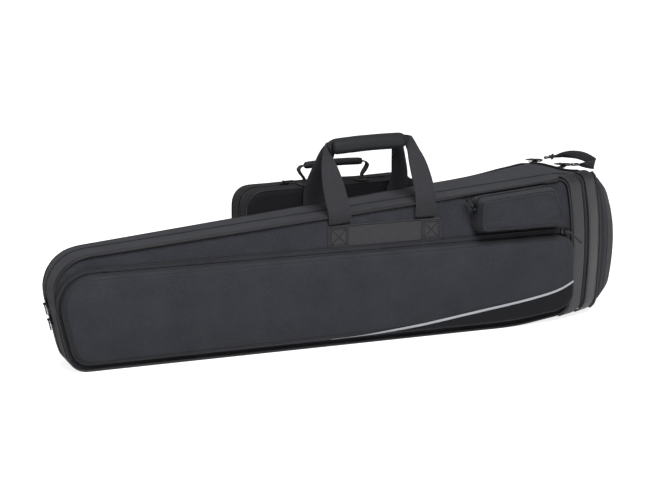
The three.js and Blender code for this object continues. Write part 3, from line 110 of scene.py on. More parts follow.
def linear(code: str) -> tuple[float, float, float, float]:
    """The linear colour of an sRGB hex code.

    Args:
        code: Six hex digits, with or without a leading #.

    Returns:
        Red, green, blue and an alpha of one.
    """
    digits = code.lstrip("#")
    parts = [int(digits[k : k + 2], 16) / 255 for k in (0, 2, 4)]
    return (*[p / 12.92 if p <= 0.04045 else ((p + 0.055) / 1.055) ** 2.4 for p in parts], 1.0)


def smoothstep(low: float, high: float, value: float) -> float:
    """The smooth share of value between low and high."""
    t = min(1.0, max(0.0, (value - low) / (high - low)))
    return t * t * (3 - 2 * t)


def mix(a: float, b: float, share: float) -> float:
    """The value that lies a share of the way from a to b."""
    return a + (b - a) * share


def fade(values: np.ndarray, start: float, reach: float) -> np.ndarray:
    """A share that is 0 at start and 1 from a reach on; a negative reach rises downwards."""
    return np.clip((values - start) / reach, 0, 1)


# Finishes

MATH, VECTOR = "ShaderNodeMath", "ShaderNodeVectorMath"
NOISE, RANGE, MIX = "ShaderNodeTexNoise", "ShaderNodeMapRange", "ShaderNodeMix"
MULTIPLY_ADD = {"operation": "MULTIPLY_ADD"}


def add(
    tree: bpy.types.NodeTree, kind: str, settings: dict | None = None, inputs: dict | None = None
) -> bpy.types.Node:
    """Adds a node with its settings and its inputs.

    Args:
        tree: The node tree that gets the node.
        kind: The node's type name.
        settings: Attributes of the node.
        inputs: Sockets by name or number; a socket as value is linked, anything else is set.

    Returns:
        The new node.
    """
    node = tree.nodes.new(kind)
    for key, value in (settings or {}).items():
        setattr(node, key, value)
    for key, value in (inputs or {}).items():
        if isinstance(value, bpy.types.NodeSocket):
            tree.links.new(value, node.inputs[key])
        else:
            node.inputs[key].default_value = value
    return node


def blank_material(name: str) -> tuple[bpy.types.Material, bpy.types.NodeTree]:
    """A material with an empty node tree.

    Args:
        name: The material's name.

    Returns:
        The material and its tree.
    """
    made = bpy.data.materials.new(name)
    made.use_nodes = True
    made.node_tree.nodes.clear()
    return made, made.node_tree


def laid(place: bpy.types.NodeSocket, size_mm: float, **more: float) -> dict:
    """The inputs that lay a texture on a place at a real size."""
    return {"Vector": place, "Scale": 1 / (size_mm * MM), **more}


def toned(
    tree: bpy.types.NodeTree, tone: bpy.types.NodeSocket, span: tuple[float, float], dark: str, light: str
) -> bpy.types.NodeSocket:
    """A colour between two, picked by a tone.

    Args:
        tree: The material's tree.
        tone: The tone's socket.
        span: The tones that give the dark and the light colour.
        dark: The dark colour's hex code.
        light: The light colour's hex code.

    Returns:
        The colour's socket.
    """
    share = add(tree, RANGE, {"clamp": True}, {0: tone, 1: span[0], 2: span[1], 3: 0.0, 4: 1.0}).outputs[0]
    ends = {0: share, 6: linear(dark), 7: linear(light)}
    return add(tree, MIX, {"data_type": "RGBA"}, ends).outputs[2]


def skin(
    tree: bpy.types.NodeTree,
    height: bpy.types.NodeSocket,
    strength: float,
    depth_mm: float,
    looks: dict,
    invert: bool = False,
) -> None:
    """Ends a material with its bump, its shader and its output.

    Args:
        tree: The material's tree.
        height: The socket of the relief.
        strength: How strongly the relief shades.
        depth_mm: The relief's depth.
        looks: The shader's other inputs.
        invert: Whether the relief is turned inside out.
    """
    relief = {"Strength": strength, "Distance": depth_mm * MM, "Height": height}
    bump = add(tree, "ShaderNodeBump", {"invert": invert}, relief)
    shader = add(tree, "ShaderNodeBsdfPrincipled", inputs={**looks, "Normal": bump.outputs[0]})
    add(tree, "ShaderNodeOutputMaterial", inputs={"Surface": shader.outputs[0]})


@dataclass(frozen=True)
class Woven:
    """Plain woven nylon or polyester: crossed threads, a slight mottle and a soft sheen.

    The real threads are about 0.5 mm wide, too fine for the render, so pitch_mm is coarser.
    """

    name: str
    light: str
    dark: str
    pitch_mm: float = 2.3
    depth_mm: float = 0.35
    roughness: float = 0.82
    sheen: float = 0.08
    slub_mm: float = 3.0
    mottle_mm: float = 45.0
    diagonal: bool = False

    def build(self) -> bpy.types.Material:
        """Lays the threads on the two axes that each face spans.

        Returns:
            The material.
        """
        made, tree = blank_material(self.name)
        place = add(tree, "ShaderNodeTexCoord")
        still = turned = place.outputs["Object"]
        if self.diagonal:
            spin = {"Vector": still, "Rotation": (0.0, math.radians(45), math.radians(45))}
            turned = add(tree, "ShaderNodeMapping", inputs=spin).outputs["Vector"]
        count = 2 * math.pi / (self.pitch_mm * MM)
        phase = add(tree, VECTOR, {"operation": "SCALE"}, {0: turned, "Scale": count})
        wave = add(tree, VECTOR, {"operation": "SINE"}, {0: phase.outputs[0]})
        x, y, z = add(tree, "ShaderNodeSeparateXYZ", inputs={0: wave.outputs[0]}).outputs
        first = add(tree, "ShaderNodeCombineXYZ", inputs={0: y, 1: x, 2: x}).outputs[0]
        second = add(tree, "ShaderNodeCombineXYZ", inputs={0: z, 1: z, 2: y}).outputs[0]
        cross = add(tree, VECTOR, {"operation": "MULTIPLY"}, {0: first, 1: second}).outputs[0]
        facing = add(tree, VECTOR, {"operation": "ABSOLUTE"}, {0: place.outputs["Normal"]}).outputs[0]
        threads = add(tree, VECTOR, {"operation": "DOT_PRODUCT"}, {0: cross, 1: facing}).outputs["Value"]
        slub = add(tree, NOISE, inputs=laid(still, self.slub_mm, Detail=2.0)).outputs[0]
        cloud = add(tree, NOISE, inputs=laid(still, self.mottle_mm, Detail=4.0)).outputs[0]
        height = add(tree, MATH, MULTIPLY_ADD, {0: threads, 1: 0.6, 2: slub}).outputs[0]
        depth = add(tree, MATH, MULTIPLY_ADD, {0: height, 1: 0.35, 2: 0.0}).outputs[0]
        tone = add(tree, MATH, MULTIPLY_ADD, {0: cloud, 1: 0.4, 2: depth}).outputs[0]
        looks = {
            "Base Color": toned(tree, tone, (0.1, 0.7), self.dark, self.light),
            "Roughness": self.roughness,
            "Sheen Weight": self.sheen,
            "Sheen Roughness": 0.45,
            "Specular IOR Level": 0.2,
        }
        skin(tree, height, 0.5, self.depth_mm, looks)
        return made


@dataclass(frozen=True)
class Ribbed:
    """Webbing: heavy ribs across the run, woven from thick yarn, duller than the cloth."""

    name: str
    light: str
    dark: str
    rib_mm: float = 2.0
    chevron_mm: float = 4.75
    fuzz_mm: float = 2.5
    depth_mm: float = 0.4
    roughness: float = 0.8

    def build(self) -> bpy.types.Material:
        """Stacks ribs up the height and breaks them into a herringbone across it.

        Returns:
            The material.
        """
        made, tree = blank_material(self.name)
        place = add(tree, "ShaderNodeTexCoord").outputs["Object"]
        count = 2 * math.pi / (self.rib_mm * MM)
        x, _, z = add(tree, "ShaderNodeSeparateXYZ", inputs={0: place}).outputs
        side = add(tree, MATH, {"operation": "PINGPONG"}, {0: x, 1: self.chevron_mm * MM}).outputs[0]
        lean = add(tree, MATH, MULTIPLY_ADD, {0: side, 1: 0.8, 2: z}).outputs[0]
        turn = add(tree, MATH, {"operation": "MULTIPLY"}, {0: lean, 1: count}).outputs[0]
        ribs = add(tree, MATH, {"operation": "SINE"}, {0: turn}).outputs[0]
        fuzz = add(tree, NOISE, inputs=laid(place, self.fuzz_mm, Detail=3.0)).outputs[0]
        height = add(tree, MATH, MULTIPLY_ADD, {0: ribs, 1: 0.5, 2: fuzz}).outputs[0]
        looks = {
            "Base Color": toned(tree, height, (-0.1, 1.1), self.dark, self.light),
            "Roughness": self.roughness,
            "Sheen Weight": 0.08,
            "Specular IOR Level": 0.2,
        }
        skin(tree, height, 0.6, self.depth_mm, looks)
        return made


@dataclass(frozen=True)
class Grained:
    """Vinyl or synthetic leather: pebbled by an embossing roll, with a satin coat."""

    name: str
    light: str
    dark: str
    grain_mm: float = 2.2
    depth_mm: float = 0.25
    roughness: float = 0.42
    coat: float = 0.15
    wear_mm: float = 60.0

    def build(self) -> bpy.types.Material:
        """Lays pebbles between valleys, with a slightly uneven gloss.

        Returns:
            The material.
        """
        made, tree = blank_material(self.name)
        place = add(tree, "ShaderNodeTexCoord").outputs["Object"]
        cells = add(tree, "ShaderNodeTexVoronoi", {"feature": "SMOOTH_F1"}, laid(place, self.grain_mm))
        soil = add(tree, NOISE, inputs=laid(place, self.wear_mm, Detail=5.0)).outputs[0]
        ends = {0: soil, 6: linear(self.dark), 7: linear(self.light)}
        gloss = {0: soil, 1: 0.3, 2: 0.7, 3: self.roughness - 0.06, 4: self.roughness + 0.08}
        looks = {
            "Base Color": add(tree, MIX, {"data_type": "RGBA"}, ends).outputs[2],
            "Roughness": add(tree, RANGE, inputs=gloss).outputs[0],
            "Specular IOR Level": 0.35,
            "Coat Weight": self.coat,
            "Coat Roughness": 0.35,
        }
        skin(tree, cells.outputs[0], 0.45, self.depth_mm, looks, invert=True)
        return made


@dataclass(frozen=True)
class Pile:
    """Short plush over foam: fine tufts that lie in patches and darken where they part."""

    name: str
    light: str
    dark: str
    tuft_mm: float = 1.6
    patch_mm: float = 38.0
    depth_mm: float = 0.8

    def build(self) -> bpy.types.Material:
        """Lays tufts as bump and brushed patches as colour.

        Returns:
            The material.
        """
        made, tree = blank_material(self.name)
        place = add(tree, "ShaderNodeTexCoord").outputs["Object"]
        tufts = add(tree, NOISE, inputs=laid(place, self.tuft_mm, Detail=5.0)).outputs[0]
        brushed = add(tree, NOISE, inputs=laid(place, self.patch_mm, Detail=3.0)).outputs[0]
        tone = add(tree, MATH, MULTIPLY_ADD, {0: tufts, 1: 0.5, 2: brushed}).outputs[0]
        colour = toned(tree, tone, (0.5, 1.0), self.dark, self.light)
        looks = {"Base Color": colour, "Roughness": 0.95, "Sheen Weight": 0.7}
        skin(tree, tufts, 0.8, self.depth_mm, looks)
        return made


@dataclass(frozen=True)
class Solid:
    """Moulded plastic, spun thread, plated or lacquered metal: one colour with fine wear."""

    name: str
    colour: str
    roughness: float
    metallic: float = 0.0
    grain_mm: float = 1.5
    depth_mm: float = 0.05

    def build(self) -> bpy.types.Material:
        """Lays a faint surface noise in the gloss and the bump.

        Returns:
            The material.
        """
        made, tree = blank_material(self.name)
        place = add(tree, "ShaderNodeTexCoord").outputs["Object"]
        marks = add(tree, NOISE, inputs=laid(place, self.grain_mm, Detail=4.0)).outputs[0]
        gloss = {0: marks, 1: 0.3, 2: 0.7, 3: self.roughness * 0.85, 4: self.roughness * 1.2}
        looks = {
            "Base Color": linear(self.colour),
            "Metallic": self.metallic,
            "Roughness": add(tree, RANGE, inputs=gloss).outputs[0],
        }
        skin(tree, marks, 0.3, self.depth_mm, looks)
        return made


FINISHES = {
    # Nylon pack cloth, plain weave: the charcoal face of the case
    "cloth": Woven("woven_nylon_charcoal", "#47484E", "#2E2F35"),
    # The same weave dyed near black: the music bag and the lower panel
    "dark_cloth": Woven("woven_nylon_black", "#232328", "#151519", mottle_mm=60.0),
    # Extruded vinyl welt over a cord: smooth, with a low shine
    "piping": Grained("vinyl_piping", "#29292C", "#18181A", 3.0, 0.1, roughness=0.52, coat=0.0),
    # Embossed synthetic leather with a satin top coat: the bands of the bell end
    "band": Grained("synthetic_leather_grey", "#404044", "#29292C"),
    # Knitted polyester tape that carries the zip: dull, with slanting threads
    "zip_tape": Woven("polyester_zip_tape", "#1D1D20", "#101012", pitch_mm=1.8, sheen=0.1, diagonal=True),
    # Brushed plush glued over the foam: soft, patchy and without shine
    "plush": Pile("brushed_plush", "#2C2C33", "#17171B"),
    # Herringbone polypropylene webbing: coarse ribs in a broken zigzag
    "webbing": Ribbed("herringbone_webbing", "#46464A", "#2A2A2E"),
    # The same webbing in a tighter weave and a lighter colour: the strip under the handle
    "strip": Ribbed("herringbone_webbing_tight", "#56565A", "#38383C", rib_mm=1.8),
    # Soft foamed vinyl round the grips: finely pebbled and nearly matt
    "grip": Grained("foamed_vinyl_grip", "#24262A", "#181A1D", grain_mm=1.8, roughness=0.6, coat=0.0),
    # Glass bead tape: pale, slightly beaded
    "reflective": Grained("glass_bead_tape", "#DDDFE3", "#B7BAC2", 1.2, 0.08, roughness=0.35),
    # Die-cast zinc with black lacquer: dark, with a worn gloss
    "zip_metal": Solid("lacquered_zinc", "#2A2A2D", 0.32, 0.7),
    # Moulded rubber over a cord: even and dull
    "cord": Solid("moulded_rubber", "#202022", 0.55),
    # Steel wire with a black nickel plate: dark metal with bright edges
    "strap_metal": Solid("black_nickel_plate", "#737378", 0.3, 1.0),
    # Injection-moulded acetal: black, with a soft gloss
    "buckle": Solid("moulded_acetal", "#1D1D20", 0.45),
    # Bonded nylon sewing thread: near black and matt
    "thread": Solid("bonded_nylon_thread", "#121214", 0.85, grain_mm=0.8),
    # The same thread in grey, as on the bands
    "thread_grey": Solid("bonded_nylon_thread_grey", "#55555A", 0.8, grain_mm=0.8),
    # Nylon monofilament of the zip's coil: dark, with little shine
    "coil": Solid("nylon_coil", "#1E1E21", 0.62),
}
_built: dict[str, bpy.types.Material] = {}


def finish(slot: str) -> bpy.types.Material:
    """The material of a finish, built on its first use.

    Args:
        slot: The finish's name.

    Returns:
        The material.
    """
    if slot not in _built:
        _built[slot] = FINISHES[slot].build()
    return _built[slot]


# Meshes


def object_from(bm: bmesh.types.BMesh, name: str) -> bpy.types.Object:
    """A linked object that takes over a bmesh.

    Args:
        bm: The mesh, freed here.
        name: The object's name.

    Returns:
        The object, at the origin.
    """
    data = bpy.data.meshes.new(name)
    bm.to_mesh(data)
    bm.free()
    return linked(name, data)


def linked(name: str, data: bpy.types.ID) -> bpy.types.Object:
    """A new object around its data, linked to the scene.

    Args:
        name: The object's name.
        data: Its mesh, curve, lamp or camera.

    Returns:
        The object, at the origin.
    """
    made = bpy.data.objects.new(name, data)
    bpy.context.scene.collection.objects.link(made)
    return made


def baked(source: bpy.types.Object) -> bpy.types.Object:
    """A plain mesh object with the source's modifiers applied.

    Args:
        source: The object, removed here.

    Returns:
        The object that takes its name.
    """
    bpy.context.view_layer.update()
    graph = bpy.context.evaluated_depsgraph_get()
    data = bpy.data.meshes.new_from_object(source.evaluated_get(graph), depsgraph=graph)
    name = source.name
    bpy.data.objects.remove(source)
    data.name = name
    return linked(name, data)


def welded(node: str) -> bmesh.types.BMesh:
    """A CAD node as a bmesh, with the corners of its triangles merged.

    Args:
        node: The CAD node.

    Returns:
        The mesh.
    """
    bm = bmesh.new()
    bm.from_mesh(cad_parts[node].data)
    bmesh.ops.remove_doubles(bm, verts=bm.verts, dist=WELD)
    return bm


def paired(node: str) -> bmesh.types.BMesh:
    """A welded CAD node, made of quads where its triangles pair up.

    Args:
        node: The CAD node.

    Returns:
        The mesh.
    """
    bm = welded(node)
    bmesh.ops.join_triangles(bm, faces=bm.faces, angle_face_threshold=0.5, angle_shape_threshold=2.0)
    return bm


def read(obj: bpy.types.Object, layer: str = "co") -> np.ndarray:
    """The places or the normals of an object's vertices, as rows.

    Args:
        obj: A mesh object.
        layer: Which of them, as Blender names it.

    Returns:
        Rows of three.
    """
    values = np.empty(len(obj.data.vertices) * 3, np.float32)
    obj.data.vertices.foreach_get(layer, values)
    return values.reshape(-1, 3)


def write(obj: bpy.types.Object, places: np.ndarray) -> None:
    """Moves an object's vertices to new places."""
    obj.data.vertices.foreach_set("co", places.astype(np.float32).ravel())
    obj.data.update()


def shade(obj: bpy.types.Object, angle: float = 42.0) -> None:
    """Smooth faces, with sharp edges above an angle in degrees."""
    obj.data.shade_smooth()
    obj.data.set_sharp_from_angle(angle=math.radians(angle))


def drift(obj: bpy.types.Object, move: Drift) -> None:
    """Moves an object's vertices along their normals.

    Args:
        obj: A plain mesh.
        move: From places and normals, both as rows in metres, to distances in metres.
    """
    places, normals = read(obj), read(obj, "normal")
    write(obj, places + normals * move(places, normals)[:, None])


@dataclass(frozen=True)
class Ripple:
    """Uneven waves in cloth: which ones, how wide and deep they are, and their stretch by axis."""

    seed: float
    size_mm: float
    depth_mm: float
    stretch: tuple[float, float, float] = (1, 1, 1)

    def at(self, places: np.ndarray) -> np.ndarray:
        """How far the waves lift each place.

        Args:
            places: Rows in metres.

        Returns:
            The lifts in millimetres.
        """
        scale = 1 / (self.size_mm * MM)
        shift = Vector((self.seed, self.seed * 1.7, self.seed * 0.6))
        shaped = places / np.array(self.stretch)
        return np.array([noise.noise(Vector(p) * scale + shift) for p in shaped]) * self.depth_mm

    def __call__(self, places: np.ndarray, normals: np.ndarray) -> np.ndarray:
        """The lifts in metres, as drift takes them."""
        return self.at(places) * MM


@dataclass(frozen=True)
class Cut:
    """How a CAD solid is turned into cloth: cut to a grid, creased at sharp edges, rounded.

    Without smooth the first level only splits the faces, so that a large form keeps its size.
    """

    levels: int = 2
    sharp_deg: float = 58.0
    crease: float = 0.8
    grid_mm: float | None = None
    smooth: bool = True

    def grid(self, bm: bmesh.types.BMesh) -> None:
        """Cuts the large faces to a grid, so that folds have something to bend.

        Args:
            bm: The mesh, changed here.
        """
        step = self.grid_mm * MM
        for axis in (0, 2):
            along = [v.co[axis] for v in bm.verts]
            line = math.ceil(min(along) / step) * step
            way = Vector([1.0 if k == axis else 0.0 for k in range(3)])
            while line < max(along):
                faces = []
                for face in bm.faces:
                    span = [v.co[axis] for v in face.verts]
                    if min(span) < line - step / 3 and max(span) > line + step / 3:
                        faces.append(face)
                if faces:
                    edges = {e for f in faces for e in f.edges}
                    verts = {v for f in faces for v in f.verts}
                    geom = [*faces, *edges, *verts]
                    bmesh.ops.bisect_plane(bm, geom=geom, dist=1e-6, plane_co=way * line, plane_no=way)
                line += step

    def make(self, node: str, name: str) -> bpy.types.Object:
        """The refined copy of a CAD node.

        Args:
            node: The CAD node.
            name: The new piece's name.

        Returns:
            The piece, a plain mesh with smooth faces and sharp edges where it is creased.
        """
        bm = paired(node)
        if self.grid_mm:
            self.grid(bm)
        layer = bm.edges.layers.float.new("crease_edge")
        for edge in bm.edges:
            if len(edge.link_faces) == 2 and edge.calc_face_angle(0.0) > math.radians(self.sharp_deg):
                edge[layer] = self.crease
        made = object_from(bm, name)
        if self.levels:
            plain = 0 if self.smooth else 1
            for kind, levels in (("SIMPLE", plain), ("CATMULL_CLARK", self.levels - plain)):
                if levels:
                    split = made.modifiers.new(kind.lower(), "SUBSURF")
                    split.subdivision_type = kind
                    split.levels = split.render_levels = levels
            made = baked(made)
        shade(made)
        return made

    def piece(
        self,
        node: str,
        name: str,
        slot: str,
        body: Body | None,
        folds: Drift | None = None,
        material: str | None = None,
    ) -> bpy.types.Object:
        """The refined copy of a CAD node with its folds, dressed to stand for it.

        Args:
            node: The CAD node.
            name: The new piece's name.
            slot: The record's material slot.
            body: The body it rides on, or None for a piece that bends between bodies.
            folds: Its folds, as drift takes them.
            material: The finish, where it isn't the slot's own.

        Returns:
            The piece.
        """
        made = self.make(node, name)
        if folds:
            drift(made, folds)
        return dress(made, slot, body, node, material=material)


def dress(
    obj: bpy.types.Object, slot: str, body: Body | None, *nodes: str, material: str | None = None
) -> bpy.types.Object:
    """Gives a finished piece its material, its body and the CAD nodes that it stands for.

    Args:
        obj: The piece.
        slot: The record's material slot.
        body: The body it rides on, or None for a piece that bends between bodies.
        nodes: The CAD nodes that it replaces.
        material: The finish, where it isn't the slot's own.

    Returns:
        The piece.
    """
    obj.data.materials.clear()
    obj.data.materials.append(finish(material or slot))
    if body is not None:
        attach(obj, body.value)
    if nodes:
        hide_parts(*nodes)
    log.info("%s: %d faces", obj.name, len(obj.data.polygons))
    return obj


# Lines and tubes


def even_line(points: Points, step_mm: float) -> list[Vector]:
    """The polyline again with even spacing.

    Args:
        points: The polyline.
        step_mm: The spacing.

    Returns:
        The new points, from the same start to the same end.
    """
    lengths = [0.0]
    for a, b in zip(points, points[1:]):
        lengths.append(lengths[-1] + (b - a).length)
    count = max(2, round(lengths[-1] / (step_mm * MM)))
    out, k = [], 0
    for n in range(count + 1):
        want = lengths[-1] * n / count
        while k < len(points) - 2 and lengths[k + 1] < want:
            k += 1
        span = lengths[k + 1] - lengths[k]
        out.append(points[k].lerp(points[k + 1], 0.0 if span == 0 else (want - lengths[k]) / span))
    return out


def smooth_line(points: Points, step_mm: float, closed: bool = False) -> list[Vector]:
    """An even polyline through points, rounded as a Catmull-Rom curve.

    Args:
        points: The points that it passes through.
        step_mm: Its spacing.
        closed: Whether it returns to its start.

    Returns:
        The points of the polyline; a closed one doesn't repeat its start.
    """
    pts = list(points)
    ring = pts + pts[:1] if closed else pts
    fine: list[Vector] = []
    for k in range(len(ring) - 1):
        a = pts[k - 1] if (k or closed) else ring[0]
        b, c = ring[k], ring[k + 1]
        d = pts[(k + 2) % len(pts)] if closed else ring[min(k + 2, len(ring) - 1)]
        span = (c - b).length
        pulls = [v * (span / v.length) if v.length else c - b for v in (c - a, d - b)]
        count = max(2, int(span / (step_mm * MM * 0.5)))
        for n in range(count):
            t = n / count
            h = (2 * t**3 - 3 * t**2 + 1, t**3 - 2 * t**2 + t, -2 * t**3 + 3 * t**2, t**3 - t**2)
            fine.append(b * h[0] + pulls[0] * h[1] + c * h[2] + pulls[1] * h[3])
    fine.append(ring[-1].copy())
    return even_line(fine, step_mm)[: -1 if closed else None]


def from_gap(points: Points) -> list[Vector]:
    """The points of a broken ring, in order from its widest gap."""
    start = max(range(len(points)), key=lambda k: (points[k] - points[k - 1]).length)
    return [*points[start:], *points[:start]]


def tube(
    name: str, points: Points, radius_mm: float, closed: bool = False, sides: int = 10
) -> bpy.types.Object:
    """A round tube along a polyline.

    Args:
        name: The piece's name.
        points: Its centreline.
        radius_mm: Its radius.
        closed: Whether it returns to its start.
        sides: Its sides.

    Returns:
        The piece, closed at its ends.
    """
    bm = bmesh.new()
    pts = list(points)
    count = len(pts)
    turns = [2 * math.pi * n / sides for n in range(sides)]
    rings = []
    side = None
    for k, p in enumerate(pts):
        before = pts[k - 1] if (k or closed) else p
        after = pts[(k + 1) % count] if (k < count - 1 or closed) else p
        along = (after - before).normalized()
        if side is None:
            side = along.orthogonal().normalized()
        side = (side - along * side.dot(along)).normalized()
        up = along.cross(side)
        places = [p + (side * math.cos(t) + up * math.sin(t)) * radius_mm * MM for t in turns]
        rings.append([bm.verts.new(place) for place in places])
    for a, b in ((k, (k + 1) % count) for k in range(count if closed else count - 1)):
        offset = 0
        if closed and b == 0:
            gaps = [(rings[a][0].co - rings[0][n].co).length for n in range(sides)]
            offset = gaps.index(min(gaps))
        for n in range(sides):
            m = (n + 1) % sides
            far = rings[b][(m + offset) % sides], rings[b][(n + offset) % sides]
            bm.faces.new((rings[a][n], rings[a][m], *far))
    if not closed:
        bm.faces.new(list(reversed(rings[0])))
        bm.faces.new(rings[-1])
    bmesh.ops.recalc_face_normals(bm, faces=bm.faces)
    made = object_from(bm, name)
    shade(made, 60)
    return made


def centreline(node: str, radius_mm: float) -> list[Vector]:
    """The centres of the rings of a CAD tube, in order.

    Args:
        node: A CAD node made of equal rings joined in a row.
        radius_mm: Its radius.

    Returns:
        The centres, from one end to the other, or all the way round.
    """
    bm = welded(node)
    bm.verts.ensure_lookup_table()
    owner = list(range(len(bm.verts)))

    def root(k: int) -> int:
        """The cluster that a vertex belongs to.

        Args:
            k: The vertex's number.

        Returns:
            The number of the cluster's first vertex.
        """
        while owner[k] != k:
            k = owner[k]
        return k

    ring_edge = 1.35 * radius_mm * MM
    for edge in bm.edges:
        if edge.calc_length() < ring_edge:
            a, b = (root(v.index) for v in edge.verts)
            owner[a] = b
    groups: dict[int, list[int]] = {}
    for k in range(len(bm.verts)):
        groups.setdefault(root(k), []).append(k)
    centres = {k: sum((bm.verts[n].co for n in g), Vector()) / len(g) for k, g in groups.items()}
    near: dict[int, set[int]] = {k: set() for k in groups}
    for edge in bm.edges:
        a, b = (root(v.index) for v in edge.verts)
        if a != b:
            near[a].add(b)
            near[b].add(a)
    bm.free()
    start = min(near, key=lambda k: (len(near[k]), centres[k].x))
    order, seen = [start], {start}
    while nexts := [k for k in near[order[-1]] if k not in seen]:
        step = min(nexts, key=lambda k: (centres[k] - centres[order[-1]]).length)
        order.append(step)
        seen.add(step)
    return [centres[k] for k in order]


def rounded(
    corners: Sequence[tuple[float, float]], radii: Sequence[float], steps: int = 8
) -> list[tuple[float, float]]:
    """A closed outline with rounded corners.

    Args:
        corners: The corners in order.
        radii: The radius at each.
        steps: The steps in each corner.

    Returns:
        The outline's points.
    """
    out = []
    count = len(corners)
    for k, ((x, y), radius) in enumerate(zip(corners, radii)):
        here = Vector((x, y))
        back = (Vector(corners[k - 1]) - here).normalized()
        on = (Vector(corners[(k + 1) % count]) - here).normalized()
        half = back.angle(on) / 2
        reach = radius / math.tan(half)
        centre = here + (back + on).normalized() * (radius / math.sin(half))
        a, b = here + back * reach - centre, here + on * reach - centre
        arc = [a.slerp(b, n / steps).normalized() * radius for n in range(steps + 1)]
        out += [tuple(centre + p) for p in arc]
    return out


class Surface:
    """A piece's surface, to lay lines on."""

    def __init__(self, obj: bpy.types.Object) -> None:
        """Builds the search tree of an object's mesh.

        Args:
            obj: A mesh object.
        """
        bm = bmesh.new()
        bm.from_mesh(obj.data)
        self.tree = BVHTree.FromBMesh(bm)
        bm.free()

    def lay(self, points: Points, lift_mm: float) -> list[Vector]:
        """The points moved onto the surface and lifted off it."""
        found = (self.tree.find_nearest(p)[:2] for p in points)
        return [place + normal * lift_mm * MM for place, normal in found]

    def hug(self, points: Points, gap_mm: float) -> list[Vector]:
        """The points, brought back to the surface where they stand further off it than a gap.

        Args:
            points: The points.
            gap_mm: The gap that stays.

        Returns:
            As many points.
        """
        out = []
        for p in points:
            place, _, _, gap = self.tree.find_nearest(p)
            out.append(place + (p - place).normalized() * gap_mm * MM if gap > gap_mm * MM else p)
        return out

    def drop(self, points: Points, way: Vector, lift_mm: float) -> list[Vector]:
        """The points moved along a direction onto the surface; those that miss it are left out."""
        places = (self.tree.ray_cast(p, way)[0] for p in points)
        return [place - way * lift_mm * MM for place in places if place is not None]


# Repeats along paths


def repeat_tree(section: Section) -> bpy.types.GeometryNodeTree:
    """The node tree that lays a stitch or a turn of zip coil along every spline.

    Args:
        section: What is repeated.

    Returns:
        A tree with the inputs Pitch, Length, Radius and Material.
    """
    name = f"repeat_{section.value}"
    if name in bpy.data.node_groups:
        return bpy.data.node_groups[name]
    tree = bpy.data.node_groups.new(name, "GeometryNodeTree")
    floats = {label: "Float" for label in ("Pitch", "Length", "Radius")}
    kinds = {"Geometry": "Geometry", **floats, "Material": "Material"}
    for label, kind in kinds.items():
        tree.interface.new_socket(label, in_out="INPUT", socket_type=f"NodeSocket{kind}")
    tree.interface.new_socket("Geometry", in_out="OUTPUT", socket_type="NodeSocketGeometry")
    ins = add(tree, "NodeGroupInput").outputs
    path = {"Curve": ins["Geometry"], "Length": ins["Pitch"]}
    spaced = add(tree, "GeometryNodeResampleCurve", {"mode": "LENGTH"}, path).outputs[0]
    if section is Section.STITCH:
        bead = add(tree, "GeometryNodeMeshUVSphere", inputs={"Segments": 6, "Rings": 4, "Radius": 1.0})
    else:
        bead = add(tree, "GeometryNodeMeshCylinder", inputs={"Vertices": 8, "Radius": 1.0, "Depth": 2.0})
    half = add(tree, MATH, {"operation": "MULTIPLY"}, {0: ins["Length"], 1: 0.5}).outputs[0]
    size = add(tree, "ShaderNodeCombineXYZ", inputs={0: ins["Radius"], 1: ins["Radius"], 2: half}).outputs[0]
    shaped = add(tree, "GeometryNodeTransform", inputs={"Geometry": bead.outputs["Mesh"], "Scale": size})
    along = add(tree, "GeometryNodeInputTangent").outputs[0]
    aim = add(tree, "FunctionNodeAlignRotationToVector", {"axis": "Z"}, {"Vector": along}).outputs[0]
    copies = {"Points": spaced, "Instance": shaped.outputs[0], "Rotation": aim}
    sown = add(tree, "GeometryNodeInstanceOnPoints", inputs=copies).outputs[0]
    real = add(tree, "GeometryNodeRealizeInstances", inputs={"Geometry": sown}).outputs[0]
    smooth = add(tree, "GeometryNodeSetShadeSmooth", inputs={0: real}).outputs[0]
    last = {"Geometry": smooth, "Material": ins["Material"]}
    dressed = add(tree, "GeometryNodeSetMaterial", inputs=last).outputs[0]
    add(tree, "NodeGroupOutput", inputs={0: dressed})
    return tree


@dataclass(frozen=True)
class Thread:
    """A row of stitches, or a zip's coil, with its sizes in millimetres."""

    section: Section = Section.STITCH
    pitch: float = 4.2
    length: float = 3.2
    radius: float = 0.45
    slot: str = "thread"

    def lay(self, name: str, lines: Sequence[Points], body: Body) -> None:
        """Lays the repeats along polylines.

        Args:
            name: The piece's name.
            lines: The polylines, in metres.
            body: The body it rides on.
        """
        data = bpy.data.curves.new(name, "CURVE")
        data.dimensions = "3D"
        for line in lines:
            spline = data.splines.new("POLY")
            spline.points.add(len(line) - 1)
            spline.points.foreach_set("co", [v for p in line for v in (*p, 1.0)])
        source = linked(name, data)
        mod = source.modifiers.new("repeat", "NODES")
        mod.node_group = repeat_tree(self.section)
        values = {
            "Pitch": self.pitch * MM,
            "Length": self.length * MM,
            "Radius": self.radius * MM,
            "Material": finish(self.slot),
        }
        for item in mod.node_group.interface.items_tree:
            if item.in_out == "INPUT" and item.name in values:
                mod[item.identifier] = values[item.name]
        made = baked(source)
        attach(made, body.value)
        log.info("%s: %d faces", made.name, len(made.data.polygons))


# The outline of the case in the drawing's own frame, in millimetres


